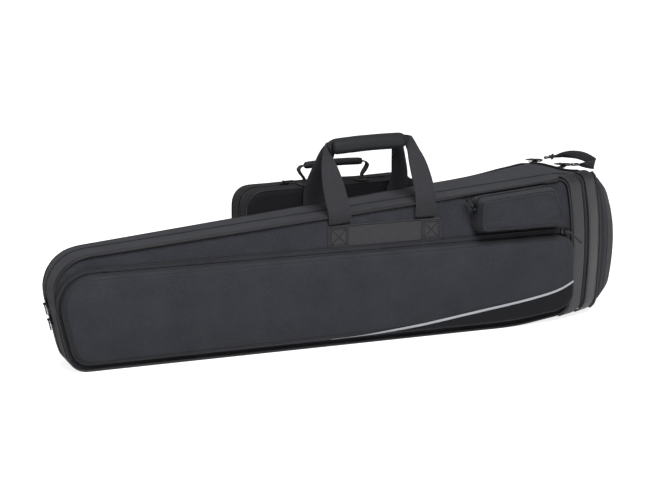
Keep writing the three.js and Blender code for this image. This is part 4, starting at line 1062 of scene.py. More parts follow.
@dataclass(frozen=True)
class Outline:
    """Sizes that several sub-assemblies share, measured from the middle of the handle."""

    slide_reach: float = 503.5
    bell_reach: float = 526.5
    slide_height: float = 176.5
    bell_height: float = 257.0
    foot_inset: float = 28.0
    head_overhang: float = 10.0
    bell_radius: float = 215.0
    bell_start: float = 340.3
    lift: float = 13.0
    lift_start: float = 255.0
    lift_end: float = 390.0
    back_slope: float = math.atan(48 / 684.5)
    front: float = -60.0

    def place(self, x: float, y: float, z: float) -> Vector:
        """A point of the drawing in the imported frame, in metres."""
        return Vector((x, y, z)) * MM + ORIGIN

    def top(self, x: float) -> float:
        """Height of the top at x."""
        share = (x + self.slide_reach) / (self.slide_reach + self.bell_reach)
        return mix(self.slide_height, self.bell_height, share)

    def bottom(self, x: float) -> float:
        """Height of the bottom at x, which lifts at the bell end."""
        return self.lift * smoothstep(self.lift_start, self.lift_end, x)

    def slide_edge(self, z: float) -> float:
        """Where the slanting slide end is at a height."""
        return -self.slide_reach + mix(self.foot_inset, -self.head_overhang, z / self.slide_height)

    def turned(self, points: Points, degrees: float) -> list[Vector]:
        """Points turned about the upright axis that the bell end is rounded on.

        Args:
            points: The points.
            degrees: The turn.

        Returns:
            As many points.
        """
        axis = self.place(self.bell_start, self.bell_radius, 0)
        spin = Matrix.Rotation(math.radians(degrees), 3, "Z")
        return [axis + spin @ (p - axis) for p in points]


# Where the drawing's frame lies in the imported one, from the strip under the handle
STRIP_LEFT, STRIP_GAP = 57 * MM, 0.3 * MM
ORIGIN = Vector((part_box("handle_base")[0].x + STRIP_LEFT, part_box("handle_base")[1].y + STRIP_GAP, 0.0))
OUTLINE = Outline()


def sew_band(
    name: str, band: bpy.types.Object, rows: Sequence[Points], heights: tuple[float, float], body: Body
) -> None:
    """Sews grey stitch rows along the edges of a band.

    Args:
        name: The name of the stitches.
        band: The band.
        rows: The rows, near the band.
        heights: The lowest and the highest stitch, in millimetres.
        body: The body they ride on.
    """
    surface = Surface(band)
    low, high = (h * MM for h in heights)
    rows = [[p for p in surface.lay(row, 0.15) if low < p.z < high] for row in rows]
    Thread(slot="thread_grey").lay(name, rows, body)


# Sub-assemblies

# The cloth of the two halves, which keeps their size while their facets are rounded
HALF_CLOTH = Cut(levels=2, sharp_deg=40, crease=1.0, grid_mm=30, smooth=False)


@dataclass
class CaseShell:
    """The rear half: cloth over foam, piping, band, seams, zip tape, hinge and fitted inside.

    A turn is in degrees about the axis that the bell end is rounded on.
    """

    piping_radius: float = 2.2
    piping_turn: float = 29.9
    piping_step: float = 7.0
    hug_end: float = 420.0
    hug_share: float = 0.85
    seam_turns: tuple[float, ...] = (34.7, 39.6)
    seam_start: float = 360.0
    seam_radius: float = 0.9
    seam_step: float = 5.0
    stitch_offset: float = 0.8
    band_start: float = 372.0
    band_turns: tuple[float, ...] = (22.7, 28.1)
    band_heights: tuple[float, float] = (14.0, 246.0)
    fold_start: float = -45.0
    fold_fade: float = 30.0

    def build(self) -> None:
        """Makes every piece that rides on the shell."""
        route = smooth_line(centreline("shell_piping", self.piping_radius), self.piping_step)
        self.piping(Surface(self.cloth()), route)
        self.band([p for p in route if p.x > self.band_start * MM])
        Cut(levels=1).piece("zip_tape_shell", "zip_tape_rear", "zip_tape", Body.SHELL)
        self.hinge()
        self.inside()
        self.trim()

    def cloth(self) -> bpy.types.Object:
        """Makes the cloth outside, with soft folds away from the rim and creased along the top.

        Returns:
            The piece.
        """
        broad, fine = Ripple(3.1, 70, 0.9, (1.6, 1, 1)), Ripple(8.3, 24, 0.3)

        def fold(places: np.ndarray, normals: np.ndarray) -> np.ndarray:
            """Long soft folds away from the rim, on faces that look along an axis.

            Args:
                places: Rows in metres.
                normals: Rows of unit length.

            Returns:
                The lifts in metres.
            """
            inward = fade(places[:, 1], self.fold_start * MM, self.fold_fade * MM)
            inward *= fade(np.abs(normals).max(1), 0.8, 0.15)
            return (broad.at(places) + fine.at(places)) * MM * inward

        made = HALF_CLOTH.piece("shell", "shell_cloth", "cloth", Body.SHELL, fold)
        return made

    def piping(self, surface: Surface, route: Points) -> None:
        """Makes the vinyl piping along the rear edge, and the fabric seams of the bell end.

        Args:
            surface: The cloth's surface.
            route: The piping's centreline.
        """
        near = surface.hug(route, self.piping_radius * self.hug_share)
        line = [b if a.x < self.hug_end * MM else a for a, b in zip(route, near)]
        dress(tube("shell_welt", line, self.piping_radius), "piping", Body.SHELL, "shell_piping")
        around = [p for p in line if p.x > self.seam_start * MM]
        turns = [turn - self.piping_turn for turn in self.seam_turns]
        for k, turn in enumerate(turns):
            seam = even_line(surface.lay(OUTLINE.turned(around, turn), 0.1), self.seam_step)
            dress(tube(f"bell_seam_{k}", seam, self.seam_radius, sides=8), "cloth", Body.SHELL)
        beside = [surface.lay(OUTLINE.turned(around, t + self.stitch_offset), 0.2) for t in turns]
        Thread().lay("bell_seam_stitches", beside, Body.SHELL)

    def band(self, line: Points) -> None:
        """Makes the synthetic leather band behind the zip, sewn along both edges.

        Args:
            line: The piping's centreline round the bell end.
        """
        folds = Ripple(5.0, 30, 0.25, (1, 1, 2))
        made = Cut(levels=2).piece("bell_band_shell", "band_shell", "band", Body.SHELL, folds)
        rows = [OUTLINE.turned(line, turn - self.piping_turn) for turn in self.band_turns]
        sew_band("band_shell_stitches", made, rows, self.band_heights, Body.SHELL)

    def hinge(self) -> None:
        """Makes the cloth hinge, which bends between the shell and the lid."""
        made = Cut(levels=0, grid_mm=20).piece("hinge_strip", "hinge_cloth", "dark_cloth", None)
        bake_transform(made)

    def inside(self) -> None:
        """Makes the fitted foam under plush, and the strap over the bell section."""
        foam = Cut(levels=1, sharp_deg=40, crease=0.6, grid_mm=30)
        made = foam.piece("shell_insert", "foam_insert", "plush", Body.SHELL, Ripple(1.3, 35, 0.2))
        strap = Cut(levels=2, crease=0.9, grid_mm=15)
        strap.piece("bell_strap", "bell_strap_webbing", "webbing", Body.SHELL)

    def trim(self) -> None:
        """Makes the patches, the loop pads and the ring tabs on the outside."""
        for end in SIDES:
            patch = Cut(levels=1, crease=0.95)
            patch.piece(f"rear_handle_patch_{end}", f"rear_patch_{end}", "webbing", Body.SHELL)
            pad = Cut(levels=1, crease=0.9, grid_mm=12)
            made = pad.piece(f"shell_pad_{end}", f"loop_pad_{end}", "plush", Body.SHELL)
        for end in STRAP_ENDS:
            tab = Cut(levels=2, crease=0.9)
            tab.piece(f"ring_tab_{end}", f"ring_tab_webbing_{end}", "webbing", Body.SHELL)


@dataclass
class Lid:
    """The front half: cloth, piping, band, zip, lining and what holds the slide.

    A turn is in degrees about the axis that the bell end is rounded on.
    """

    piping_radius: float = 2.2
    piping_turn: float = 10.8
    piping_step: float = 7.0
    band_start: float = 330.0
    band_turns: tuple[float, ...] = (12.8, 17.4)
    band_heights: tuple[float, float] = (12.0, 244.0)
    coil_radius: float = 1.7
    coil_reach: float = 0.5
    coil_middle: float = 120.0
    coil_step: float = 5.0
    coil_turn: float = 0.9
    face_start: float = -94.1
    face_fade: float = -0.4
    face_end: float = 340.0
    slant: float = 1.2

    def build(self) -> None:
        """Makes every piece that rides on the lid, apart from the pocket, pouch and handle."""
        self.cloth()
        rings = centreline("lid_piping", self.piping_radius)
        route = smooth_line(rings, self.piping_step, closed=True)
        welt = tube("lid_welt", route, self.piping_radius, closed=True)
        dress(welt, "piping", Body.LID, "lid_piping")
        self.band(from_gap([p for p in route if p.x > self.band_start * MM]))
        self.zip()
        self.inside()

    def cloth(self) -> None:
        """Makes the cloth face, with faint slanting wrinkles above the pocket."""
        wrinkles, sag = Ripple(2.2, 26, 1.8, (1, 1, 4)), Ripple(6.1, 60, 0.8)

        def fold(places: np.ndarray, normals: np.ndarray) -> np.ndarray:
            """Slanting wrinkles on the face only.

            Args:
                places: Rows in metres.
                normals: Not used.

            Returns:
                The lifts in metres.
            """
            slant = places.copy()
            slant[:, 0] = places[:, 0] + places[:, 2] * self.slant
            face = fade(places[:, 1], self.face_start * MM, self.face_fade * MM)
            face = face * (places[:, 0] < self.face_end * MM)
            return (wrinkles.at(slant) - 0.4 + sag.at(places)) * MM * face

        made = HALF_CLOTH.piece("lid", "lid_cloth", "cloth", Body.LID, fold)

    def band(self, line: Points) -> None:
        """Makes the synthetic leather band in front of the zip, sewn along both edges.

        Args:
            line: The piping's centreline round the bell end.
        """
        folds = Ripple(9.0, 30, 0.25, (1, 1, 2))
        made = Cut(levels=2).piece("bell_band_lid", "band_lid", "band", Body.LID, folds)
        rows = [OUTLINE.turned(line, turn - self.piping_turn) for turn in self.band_turns]
        sew_band("band_lid_stitches", made, rows, self.band_heights, Body.LID)

    def zip(self) -> None:
        """Makes the zip tape of the lid and the coil, which stays on the lid."""
        Cut(levels=1).piece("zip_tape_lid", "zip_tape_front", "zip_tape", Body.LID)
        other = Surface(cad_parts["zip_tape_shell"])
        middle = Vector((0.0, 0.0, self.coil_middle * MM))
        far: dict[float, tuple[float, Vector]] = {}
        bm = paired("zip_tape_lid")
        for v in bm.verts:
            place, _, _, gap = other.tree.find_nearest(v.co)
            if gap < self.coil_reach * MM:
                p = (v.co + place) / 2
                key = round(math.atan2(p.z - middle.z, p.x - middle.x), 2)
                reach = (p - middle).length
                if key not in far or reach > far[key][0]:
                    far[key] = (reach, p)
        bm.free()
        order = sorted(far, key=lambda key: (key + math.pi / 2 + self.coil_turn) % (2 * math.pi))
        line = smooth_line([far[key][1] for key in order], self.coil_step)
        coil = Thread(Section.COIL, pitch=2.4, length=1.5, radius=self.coil_radius, slot="coil")
        coil.lay("main_zip_coil", [line], Body.LID)

    def inside(self) -> None:
        """Makes the plush lining, the two cradles of the slide and their straps."""
        lining = Cut(levels=0, grid_mm=25).piece("lid_lining", "lining_plush", "plush", Body.LID)
        for end in SIDES:
            foam = Cut(levels=1, sharp_deg=50, crease=0.7)
            cradle = foam.piece(f"slide_cradle_{end}", f"cradle_foam_{end}", "plush", Body.LID)
            strap = Cut(levels=1, crease=0.9, grid_mm=12)
            strap.piece(f"slide_strap_{end}", f"cradle_strap_{end}", "webbing", Body.LID)


@dataclass
class FrontPocket:
    """The large pocket: its padded face, welt, stitch rows, flap and trim."""

    left_inset: float = 6.5
    right: float = 371.5
    bulge: float = 14.5
    foot: float = 9.0
    head: float = 152.0
    foot_corner: float = 32.0
    slide_corner: float = 50.0
    bell_corner: float = 34.0
    least_corner: float = 4.0
    step: float = 5.0
    welt_radius: float = 1.3
    welt_inset: float = 3.0
    stitch_inset: float = 8.0
    face_start: float = -106.0
    face_fade: float = -4.0
    flap_welt_radius: float = 1.2
    strip: tuple[float, float] = (1.2, 7.6)
    strip_thick: float = 2.4
    strip_reach: float = 30.0
    strip_foot: float = 20.0
    strip_welt_radius: float = 0.9

    def loop(self, inset: float) -> list[Vector]:
        """The pocket's outline, well in front of it.

        Args:
            inset: How far it is drawn in.

        Returns:
            A closed line that repeats its start.
        """
        right = self.right + self.bulge - inset
        low, high = self.foot + inset, self.head - inset
        left = [OUTLINE.slide_edge(z) + self.left_inset + inset for z in (low, high)]
        corners = [(left[0], low), (right, low), (right, high), (left[1], high)]
        radii = [self.foot_corner, self.foot_corner, self.bell_corner, self.slide_corner]
        flat = rounded(corners, [max(self.least_corner, r - inset) for r in radii])
        lifted = [(x, z + OUTLINE.bottom(x) * (1 - z / self.head)) for x, z in flat]
        out = [OUTLINE.place(x, OUTLINE.front, z) for x, z in lifted]
        return out + out[:1]

    def build(self) -> None:
        """Makes the pocket and the flap over its zip."""
        broad, puckers = Ripple(4.4, 90, 1.0, (2, 1, 1)), Ripple(7.7, 18, 0.15)

        def fold(places: np.ndarray, normals: np.ndarray) -> np.ndarray:
            """A soft unevenness on the face, in metres."""
            face = fade(places[:, 1], self.face_start * MM, self.face_fade * MM)
            return (broad.at(places) + puckers.at(places)) * MM * face

        cloth = Cut(levels=2, grid_mm=26)
        surface = Surface(cloth.piece("pocket_front", "pocket_cloth", "cloth", Body.POCKET, fold))
        loops = [even_line(self.loop(inset), self.step) for inset in (self.welt_inset, self.stitch_inset)]
        welt = surface.drop(loops[0], BACK, -self.welt_radius * 0.3)
        dress(tube("pocket_welt", welt, self.welt_radius, closed=True), "piping", Body.POCKET)
        Thread().lay("pocket_stitches", [surface.drop(loops[1], BACK, 0.1)], Body.POCKET)
        panel = Cut(levels=1, crease=0.6)
        panel.piece("pocket_lower_panel", "lower_panel_cloth", "dark_cloth", Body.POCKET)
        Cut(levels=1, crease=0.9).piece("reflective_trim", "bead_tape", "reflective", Body.POCKET)
        self.flap()
        self.corner()

    def flap(self) -> None:
        """Makes the cloth flap over the zip, with its welt and stitches, on the lid."""
        cloth = Cut(levels=1, crease=0.7, grid_mm=20)
        folds = Ripple(2.9, 22, 0.25)
        cloth.piece("pocket_zip", "pocket_flap", "zip_tape", Body.LID, folds, material="cloth")
        low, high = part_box("pocket_zip")
        inset, sunk, edge = 1.2 * MM, 0.3 * MM, 2 * MM
        rows = []
        for z in (low.z + inset, high.z - inset):
            ends = ((x, low.y + sunk, z) for x in (low.x + 2 * edge, high.x - 10 * edge))
            rows.append(even_line([Vector(end) for end in ends], 20))
        Thread().lay("flap_stitches", rows, Body.LID)
        ends = [Vector((x, low.y + inset, high.z + 0.8 * MM)) for x in (low.x + edge, high.x - edge)]
        dress(tube("flap_welt", even_line(ends, 20), self.flap_welt_radius), "piping", Body.LID)

    def corner(self) -> None:
        """Makes the strip that carries the flap on round the slide end, between two welts."""
        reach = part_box("pocket_zip")[0].x + self.strip_reach * MM
        sides = []
        for inset in self.strip:
            ring = even_line(self.loop(-inset), 3)[:-1]
            near = [k for k, p in enumerate(ring) if p.x < reach and p.z > self.strip_foot * MM]
            start = next(k for k in near if (k - 1) % len(ring) not in near)
            sides.append(even_line([ring[(start + k) % len(ring)] for k in range(len(near))], 4))
        count = min(len(side) for side in sides)
        sides = [[side[round(k * (len(side) - 1) / (count - 1))] for k in range(count)] for side in sides]
        front, back = ORIGIN.y - self.strip_thick * MM, ORIGIN.y + STRIP_GAP
        bm = bmesh.new()
        rows = [[bm.verts.new((p.x, y, p.z)) for p in side] for side in sides for y in (front, back)]
        for a, b in ((0, 1), (1, 3), (3, 2), (2, 0)):
            for k in range(count - 1):
                bm.faces.new((rows[a][k], rows[b][k], rows[b][k + 1], rows[a][k + 1]))
        for k in (0, -1):
            bm.faces.new((rows[0][k], rows[1][k], rows[3][k], rows[2][k]))
        bmesh.ops.recalc_face_normals(bm, faces=bm.faces)
        made = object_from(bm, "pocket_strip")
        shade(made)
        dress(made, "cloth", Body.LID)
        for name, side in zip(("inner", "outer"), sides):
            line = [Vector((p.x, front, p.z)) for p in side]
            dress(tube(f"strip_welt_{name}", line, self.strip_welt_radius), "piping", Body.LID)


@dataclass
class Pouch:
    """The small pouch above the pocket: tray, cover, seams and zip."""

    left: float = 194.0
    right: float = 352.0
    head_right: float = 328.0
    foot: float = 170.0
    top_gap: float = 5.6
    corner: float = 9.0
    step: float = 3.0
    welt_inset: float = 3.5
    stitch_inset: float = 8.0
    welt_radius: float = 1.1
    zip_inset: float = -0.3
    zip_foot: float = 190.0
    coil_radius: float = 1.2
    face_start: float = -118.0
    face_fade: float = -12.0
    side_fade: float = 60.0
    slant: float = 0.35
    hollow_height: float = 12.0
    hollow_width: float = 8.0

    def build(self) -> None:
        """Makes the tray on the lid and the cover that opens."""
        cloth = Cut(levels=2, crease=0.7, grid_mm=12)
        cloth.piece("pouch_back", "pouch_tray", "cloth", Body.LID, Ripple(6.6, 16, 0.5))
        creases, dents = Ripple(1.9, 11, 1.0, (6, 1, 1)), Ripple(3.8, 30, 0.8)
        low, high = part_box("pouch_cover")

        def fold(places: np.ndarray, normals: np.ndarray) -> np.ndarray:
            """Folds that run in from the bell side, and a hollow above the foot.

            Args:
                places: Rows in metres.
                normals: Not used.

            Returns:
                The lifts in metres.
            """
            face = fade(places[:, 1], self.face_start * MM, self.face_fade * MM)
            side = fade(places[:, 0], high.x - self.side_fade * MM, self.side_fade * MM)
            slant = places.copy()
            slant[:, 2] = places[:, 2] - (places[:, 0] - low.x) * self.slant
            from_hollow = (places[:, 2] - low.z - self.hollow_height * MM) / (self.hollow_width * MM)
            sag = -np.exp(-(from_hollow**2)) * 0.6
            return (creases.at(slant) * (0.4 + side) + dents.at(places) + sag) * 1.6 * MM * face

        self.seams(cloth.piece("pouch_cover", "pouch_front", "cloth", Body.POUCH, fold))

    def seams(self, cover: bpy.types.Object) -> None:
        """Makes the welt and the stitches round the face, and the zip in the wall.

        Args:
            cover: The cover.
        """
        surface = Surface(cover)
        insets = (self.welt_inset, self.stitch_inset, self.zip_inset)
        loops = [even_line(self.loop(inset), self.step) for inset in insets]
        welt = surface.drop(loops[0], BACK, 0.1)
        dress(tube("pouch_welt", welt, self.welt_radius, closed=True), "piping", Body.POUCH)
        row = surface.drop(loops[1], BACK, 0.1)
        Thread(pitch=3.6, length=2.8).lay("pouch_stitches", [row], Body.POUCH)
        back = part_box("pouch_cover")[1].y
        part = [Vector((p.x, back, p.z)) for p in loops[2] if p.z > self.zip_foot * MM]
        coil = Thread(Section.COIL, pitch=2.0, length=1.3, radius=self.coil_radius, slot="coil")
        coil.lay("pouch_zip_coil", [from_gap(part)], Body.LID)

    def loop(self, inset: float) -> list[Vector]:
        """The pouch's outline, well in front of it.

        Args:
            inset: How far it is drawn in.

        Returns:
            A closed line that repeats its start.
        """
        left, right, head_right = self.left + inset, self.right - inset, self.head_right - inset
        low = self.foot + inset
        tops = [OUTLINE.top(x) - self.top_gap - inset for x in (left, head_right)]
        corners = [(left, low), (right, low), (head_right, tops[1]), (left, tops[0])]
        out = [OUTLINE.place(x, OUTLINE.front, z) for x, z in rounded(corners, [self.corner] * 4)]
        return out + out[:1]


@dataclass
class CarryHandle:
    """The strip on the lid, the two webbing loops and the padded grip."""

    patch_side: float = 34.2
    patch_inset: float = 3.4
    box_side: float = 25.0
    row_inset: float = 1.8
    row_gap: float = 3.0
    grip_radius: float = 14.0
    grip_start: tuple[float, float, float] = (-29.0, 56.0, 311.0)
    grip_stop: tuple[float, float, float] = (99.0, 56.0, 315.0)

    def build(self) -> None:
        """Makes the handle's pieces and its stitching."""
        strip = Cut(levels=1, crease=1.0, grid_mm=20)
        made = strip.piece("handle_base", "handle_strip", "webbing", Body.LID, material="strip")
        self.stitches(Surface(made))
        loop = Cut(levels=2, crease=0.92)
        loop.piece("front_handle_webbing", "front_loop", "webbing", Body.FRONT_HANDLE)
        loop.piece("rear_handle_webbing", "rear_loop", "webbing", Body.REAR_HANDLE)
        self.grip()

    def stitches(self, surface: Surface) -> None:
        """Makes box and cross stitching on both ends, and rows along the strip.

        Args:
            surface: The strip's surface.
        """
        low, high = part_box("handle_base")
        middle = (low.z + high.z) / 2
        front = low.y - 10 * MM
        reach = (self.patch_side / 2 + 1) * MM
        lines: list[tuple[float, float, float, float]] = []
        for x in (low.x + reach, high.x - reach):
            for side in (self.patch_side - self.patch_inset, self.box_side):
                h = side / 2 * MM
                ring = [(x - h, middle - h), (x + h, middle - h), (x + h, middle + h), (x - h, middle + h)]
                lines += [(*a, *b) for a, b in zip(ring, ring[1:] + ring[:1])]
            h = self.box_side / 2 * MM
            lines.append((x - h, middle - h, x + h, middle + h))
            lines.append((x - h, middle + h, x + h, middle - h))
        reach = (self.patch_side + self.row_gap) * MM
        for z in (low.z + self.row_inset * MM, high.z - self.row_inset * MM):
            lines.append((low.x + reach, z, high.x - reach, z))
        ends = [[Vector((a, front, b)), Vector((c, front, d))] for a, b, c, d in lines]
        rows = [surface.drop(even_line(line, 3), BACK, 0.15) for line in ends]
        Thread(pitch=3.4, length=2.9, radius=0.8).lay("handle_stitches", rows, Body.LID)

    def grip(self) -> None:
        """Makes the padded wrap, closed by a stitched edge below."""
        start, stop = OUTLINE.place(*self.grip_start), OUTLINE.place(*self.grip_stop)
        made = padded_roll("grip_wrap", start, stop, self.grip_radius)
        dress(made, "grip", Body.FRONT_HANDLE, "handle_grip")
        below = Vector((0, -0.004, -0.03))
        line = [start.lerp(stop, t) + below for t in np.linspace(0.08, 0.92, 30)]
        row = Surface(made).drop(line, Vector((0, 0.1, 1)).normalized(), 0.2)
        Thread(pitch=3.8, length=3.0).lay("grip_stitches", [row], Body.FRONT_HANDLE)


def padded_roll(name: str, start: Vector, stop: Vector, radius_mm: float) -> bpy.types.Object:
    """A stuffed roll between two points: a rounded tube, filled by cloth pressure.

    Args:
        name: The piece's name.
        start: One end.
        stop: The other end.
        radius_mm: Its radius before it is filled.

    Returns:
        The roll, a plain closed mesh.
    """
    sides, rounding, end_share, hump_mm = 20, 0.05, 0.62, 1.6
    shares = [0, 0.012, 0.04, 0.09, 0.18, 0.3, 0.42, 0.54, 0.66, 0.78, 0.88, 0.94, 0.975, 0.99, 1]
    along = (stop - start).normalized()
    across = along.cross(Vector((0, 0, 1))).normalized()
    up = across.cross(along)
    length = (stop - start).length
    turns = [2 * math.pi * k / sides for k in range(sides)]
    bm = bmesh.new()
    rings = []
    for share in shares:
        end = min(share, 1 - share)
        swell = end_share + 0.38 * min(1.0, (end / rounding)) ** 0.5 if end < rounding else 1.0
        here = start + along * length * share + up * (math.sin(math.pi * share) * hump_mm * MM)
        wide, tall = radius_mm * MM * 0.98 * swell, radius_mm * MM * 0.94 * swell
        places = [here + across * wide * math.cos(t) + up * tall * math.sin(t) for t in turns]
        rings.append([bm.verts.new(place) for place in places])
    for a, b in zip(rings, rings[1:]):
        for k in range(sides):
            m = (k + 1) % sides
            bm.faces.new((a[k], a[m], b[m], b[k]))
    bm.faces.new(list(reversed(rings[0])))
    bm.faces.new(rings[-1])
    bmesh.ops.recalc_face_normals(bm, faces=bm.faces)
    made = object_from(bm, name)
    remesh = made.modifiers.new("even", "REMESH")
    remesh.mode = "VOXEL"
    remesh.voxel_size = 3.2 * MM
    made = baked(made)
    made = inflated(made, pressure=4.0, cap_mm=2.0)
    finer = made.modifiers.new("round", "SUBSURF")
    finer.levels = finer.render_levels = 1
    made = baked(made)
    drift(made, Ripple(4.9, 9, 0.25, (3, 1, 1)))
    shade(made, 60)
    return made


def inflated(obj: bpy.types.Object, pressure: float, cap_mm: float, frames: int = 20) -> bpy.types.Object:
    """The object filled by a short cloth simulation.

    Args:
        obj: A closed, evenly meshed object.
        pressure: The cloth's air pressure.
        cap_mm: The most that a point may move.
        frames: How long it runs.

    Returns:
        The filled object, with no simulation left on it.
    """
    rest = read(obj)
    cloth = obj.modifiers.new("air", "CLOTH")
    cloth.settings.use_pressure = True
    cloth.settings.uniform_pressure_force = pressure
    cloth.settings.effector_weights.gravity = 0.0
    cloth.settings.quality = 6
    cloth.point_cache.frame_start = 1
    cloth.point_cache.frame_end = frames
    scene = bpy.context.scene
    for number in range(1, frames + 1):
        scene.frame_set(number)
    made = baked(obj)
    scene.frame_set(1)
    moved = read(made)
    if len(moved) == len(rest):
        step = moved - rest
        size = np.linalg.norm(step, axis=1, keepdims=True)
        step *= np.minimum(1.0, cap_mm * MM / np.maximum(size, 1e-9))
        write(made, rest + step)
    return made


@dataclass
class MusicBag:
    """The bag on the back: two cloth halves, welts, zip, tabs and a padded handle."""

    left: float = -162.5
    right: float = 162.5
    centre: float = 8.5
    foot: float = 4.0
    head: float = 238.0
    depth: float = 70.0
    corner: float = 30.0
    case_depth: float = 76.0
    stand: float = 9.0
    step: float = 5.0
    welt_radius: float = 1.6
    welt_inset: float = 2.2
    welt_depth: float = 3.5
    stitch_inset: float = 10.0
    zip_inset: float = 0.2
    zip_foot: float = 30.0
    zip_step: float = 6.0
    zip_row_gap: float = 8.0
    coil_radius: float = 1.2
    grip_reach: float = 53.4
    grip_rise: float = 32.2
    grip_radius: float = 7.0

    def place(self, x: float, depth: float, z: float) -> Vector:
        """A point of the bag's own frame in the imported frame.

        Args:
            x: Along the bag from its middle.
            depth: Away from the case.
            z: Height.

        Returns:
            The point, in metres.
        """
        turn = OUTLINE.back_slope
        y = self.case_depth + (self.centre + OUTLINE.slide_reach) * math.tan(turn) + self.stand
        along = self.centre + x * math.cos(turn) - depth * math.sin(turn)
        return OUTLINE.place(along, y + x * math.sin(turn) + depth * math.cos(turn), z)

    def loop(self, inset: float, depth: float) -> list[Vector]:
        """The bag's outline.

        Args:
            inset: How far it is drawn in.
            depth: How far from the case it lies.

        Returns:
            A closed line that doesn't repeat its start.
        """
        a, b = self.left + inset, self.right - inset
        low, high = self.foot + inset, self.head - inset
        flat = rounded([(a, low), (b, low), (b, high), (a, high)], [self.corner - inset] * 4)
        return [self.place(x, depth, z) for x, z in flat]

    def build(self) -> None:
        """Makes the bag's cloth, edges, zip, tabs, pads and handle."""
        broad, creases = Ripple(5.5, 75, 1.6), Ripple(2.5, 28, 0.6, (1, 1, 1.8))

        def fold(places: np.ndarray, normals: np.ndarray) -> np.ndarray:
            """Slack cloth: broad dents and short creases, in metres."""
            return (broad.at(places) + creases.at(places) - 0.6) * MM

        cloth = Cut(levels=2, grid_mm=22)
        body = cloth.piece("bag_body", "bag_front_cloth", "dark_cloth", Body.BAG, fold)
        cover = cloth.piece("bag_cover", "bag_back_cloth", "dark_cloth", Body.BAG_COVER, fold)
        front = ("front", body, self.welt_depth, 0.0, Body.BAG)
        back = ("back", cover, self.depth - self.welt_depth, self.depth + 1, Body.BAG_COVER)
        for name, obj, welt_depth, row_depth, owner in (front, back):
            surface = Surface(obj)
            edge = smooth_line(self.loop(self.welt_inset, welt_depth), self.step, closed=True)
            welt = tube(f"bag_welt_{name}", surface.lay(edge, 0.4), self.welt_radius, closed=True)
            dress(welt, "piping", owner)
            inner = smooth_line(self.loop(self.stitch_inset, row_depth), self.step, closed=True)
            row = surface.lay(inner, 0.15)
            Thread().lay(f"bag_stitches_{name}", [row + row[:1]], owner)
        self.zip(body)
        self.fittings()

    def zip(self, body: bpy.types.Object) -> None:
        """Makes the coil round the bag's open sides, with a row of stitches beside it.

        Args:
            body: The half on the case's side.
        """
        foot = self.zip_foot * MM
        part = from_gap([p for p in self.loop(self.zip_inset, self.depth / 2) if p.z > foot])
        coil = Thread(Section.COIL, pitch=2.4, length=1.6, radius=self.coil_radius, slot="coil")
        coil.lay("bag_zip_coil", [smooth_line(part, self.zip_step)], Body.BAG)
        beside = smooth_line(self.loop(0.0, self.depth / 2 - self.zip_row_gap), self.zip_step, closed=True)
        row = Surface(body).lay(from_gap([p for p in beside if p.z > foot]), 0.15)
        Thread().lay("bag_zip_stitches", [row], Body.BAG)

    def fittings(self) -> None:
        """Makes the pads, the tabs, the handle's webbing and its roll."""
        for end in SIDES:
            pad = Cut(levels=1, crease=0.9, grid_mm=12)
            made = pad.piece(f"bag_pad_{end}", f"hook_pad_{end}", "plush", Body.BAG)
            tab = Cut(levels=1, crease=0.9)
            tab.piece(f"bag_tab_{end}", f"bag_tab_webbing_{end}", "webbing", Body.BAG)
        webbing = Cut(levels=2, crease=0.9)
        webbing.piece("bag_handle_webbing", "bag_loop", "webbing", Body.BAG_HANDLE)
        height = self.head + self.grip_rise
        ends = [self.place(x, self.depth / 4, height) for x in (-self.grip_reach, self.grip_reach)]
        roll = padded_roll("bag_grip_wrap", *ends, self.grip_radius)
        dress(roll, "grip", Body.BAG_HANDLE, "bag_handle_grip")


@dataclass
class HaulStrap:
    """The strap on the bell end: rings, hooks, webbing and its slide buckle."""

    wire_radius: float = 1.6
    wire_step: float = 1.5

    def build(self) -> None:
        """Makes the strap, its wire and its moulded parts."""
        Cut(levels=2, crease=0.9).piece("haul_webbing", "haul_loop", "webbing", Body.HAUL)
        for end in STRAP_ENDS:
            ring = f"d_ring_{end}"
            line = smooth_line(centreline(ring, self.wire_radius), self.wire_step, closed=True)
            wire = tube(f"ring_wire_{end}", line, self.wire_radius, closed=True)
            dress(wire, "strap_metal", Body.HAUL, ring)
            hook = Cut(levels=1, crease=0.75)
            hook.piece(f"snap_hook_{end}", f"swivel_hook_{end}", "strap_metal", Body.HAUL)
        Cut(levels=1, crease=0.85).piece("haul_buckle", "slide_buckle", "buckle", Body.HAUL)


@dataclass
class ZipPulls:
    """Sliders and pullers, each a body and a node of one name, with softened edges."""

    bevel_mm: float = 0.35
    sharp_deg: float = 40.0
    metal: tuple[Body, ...] = (
        Body.UPPER_SLIDER,
        Body.UPPER_PULLER,
        Body.LOWER_SLIDER,
        Body.LOWER_PULLER,
        Body.POCKET_SLIDER,
        Body.POUCH_SLIDER,
        Body.BAG_SLIDER,
        Body.BAG_PULLER,
    )
    moulded: tuple[Body, ...] = (Body.POCKET_PULLER, Body.POUCH_PULLER)

    def build(self) -> None:
        """Makes each slider and puller again with rounded edges."""
        for bodies, slot in ((self.metal, "zip_metal"), (self.moulded, "cord")):
            for body in bodies:
                made = object_from(paired(body.value), f"{body.value}_cast")
                soft = made.modifiers.new("soft", "BEVEL")
                soft.width = self.bevel_mm * MM
                soft.segments = 2
                soft.limit_method = "ANGLE"
                soft.angle_limit = math.radians(self.sharp_deg)
                made = baked(made)
                shade(made, self.sharp_deg)
                dress(made, slot, body, body.value)


# Studio


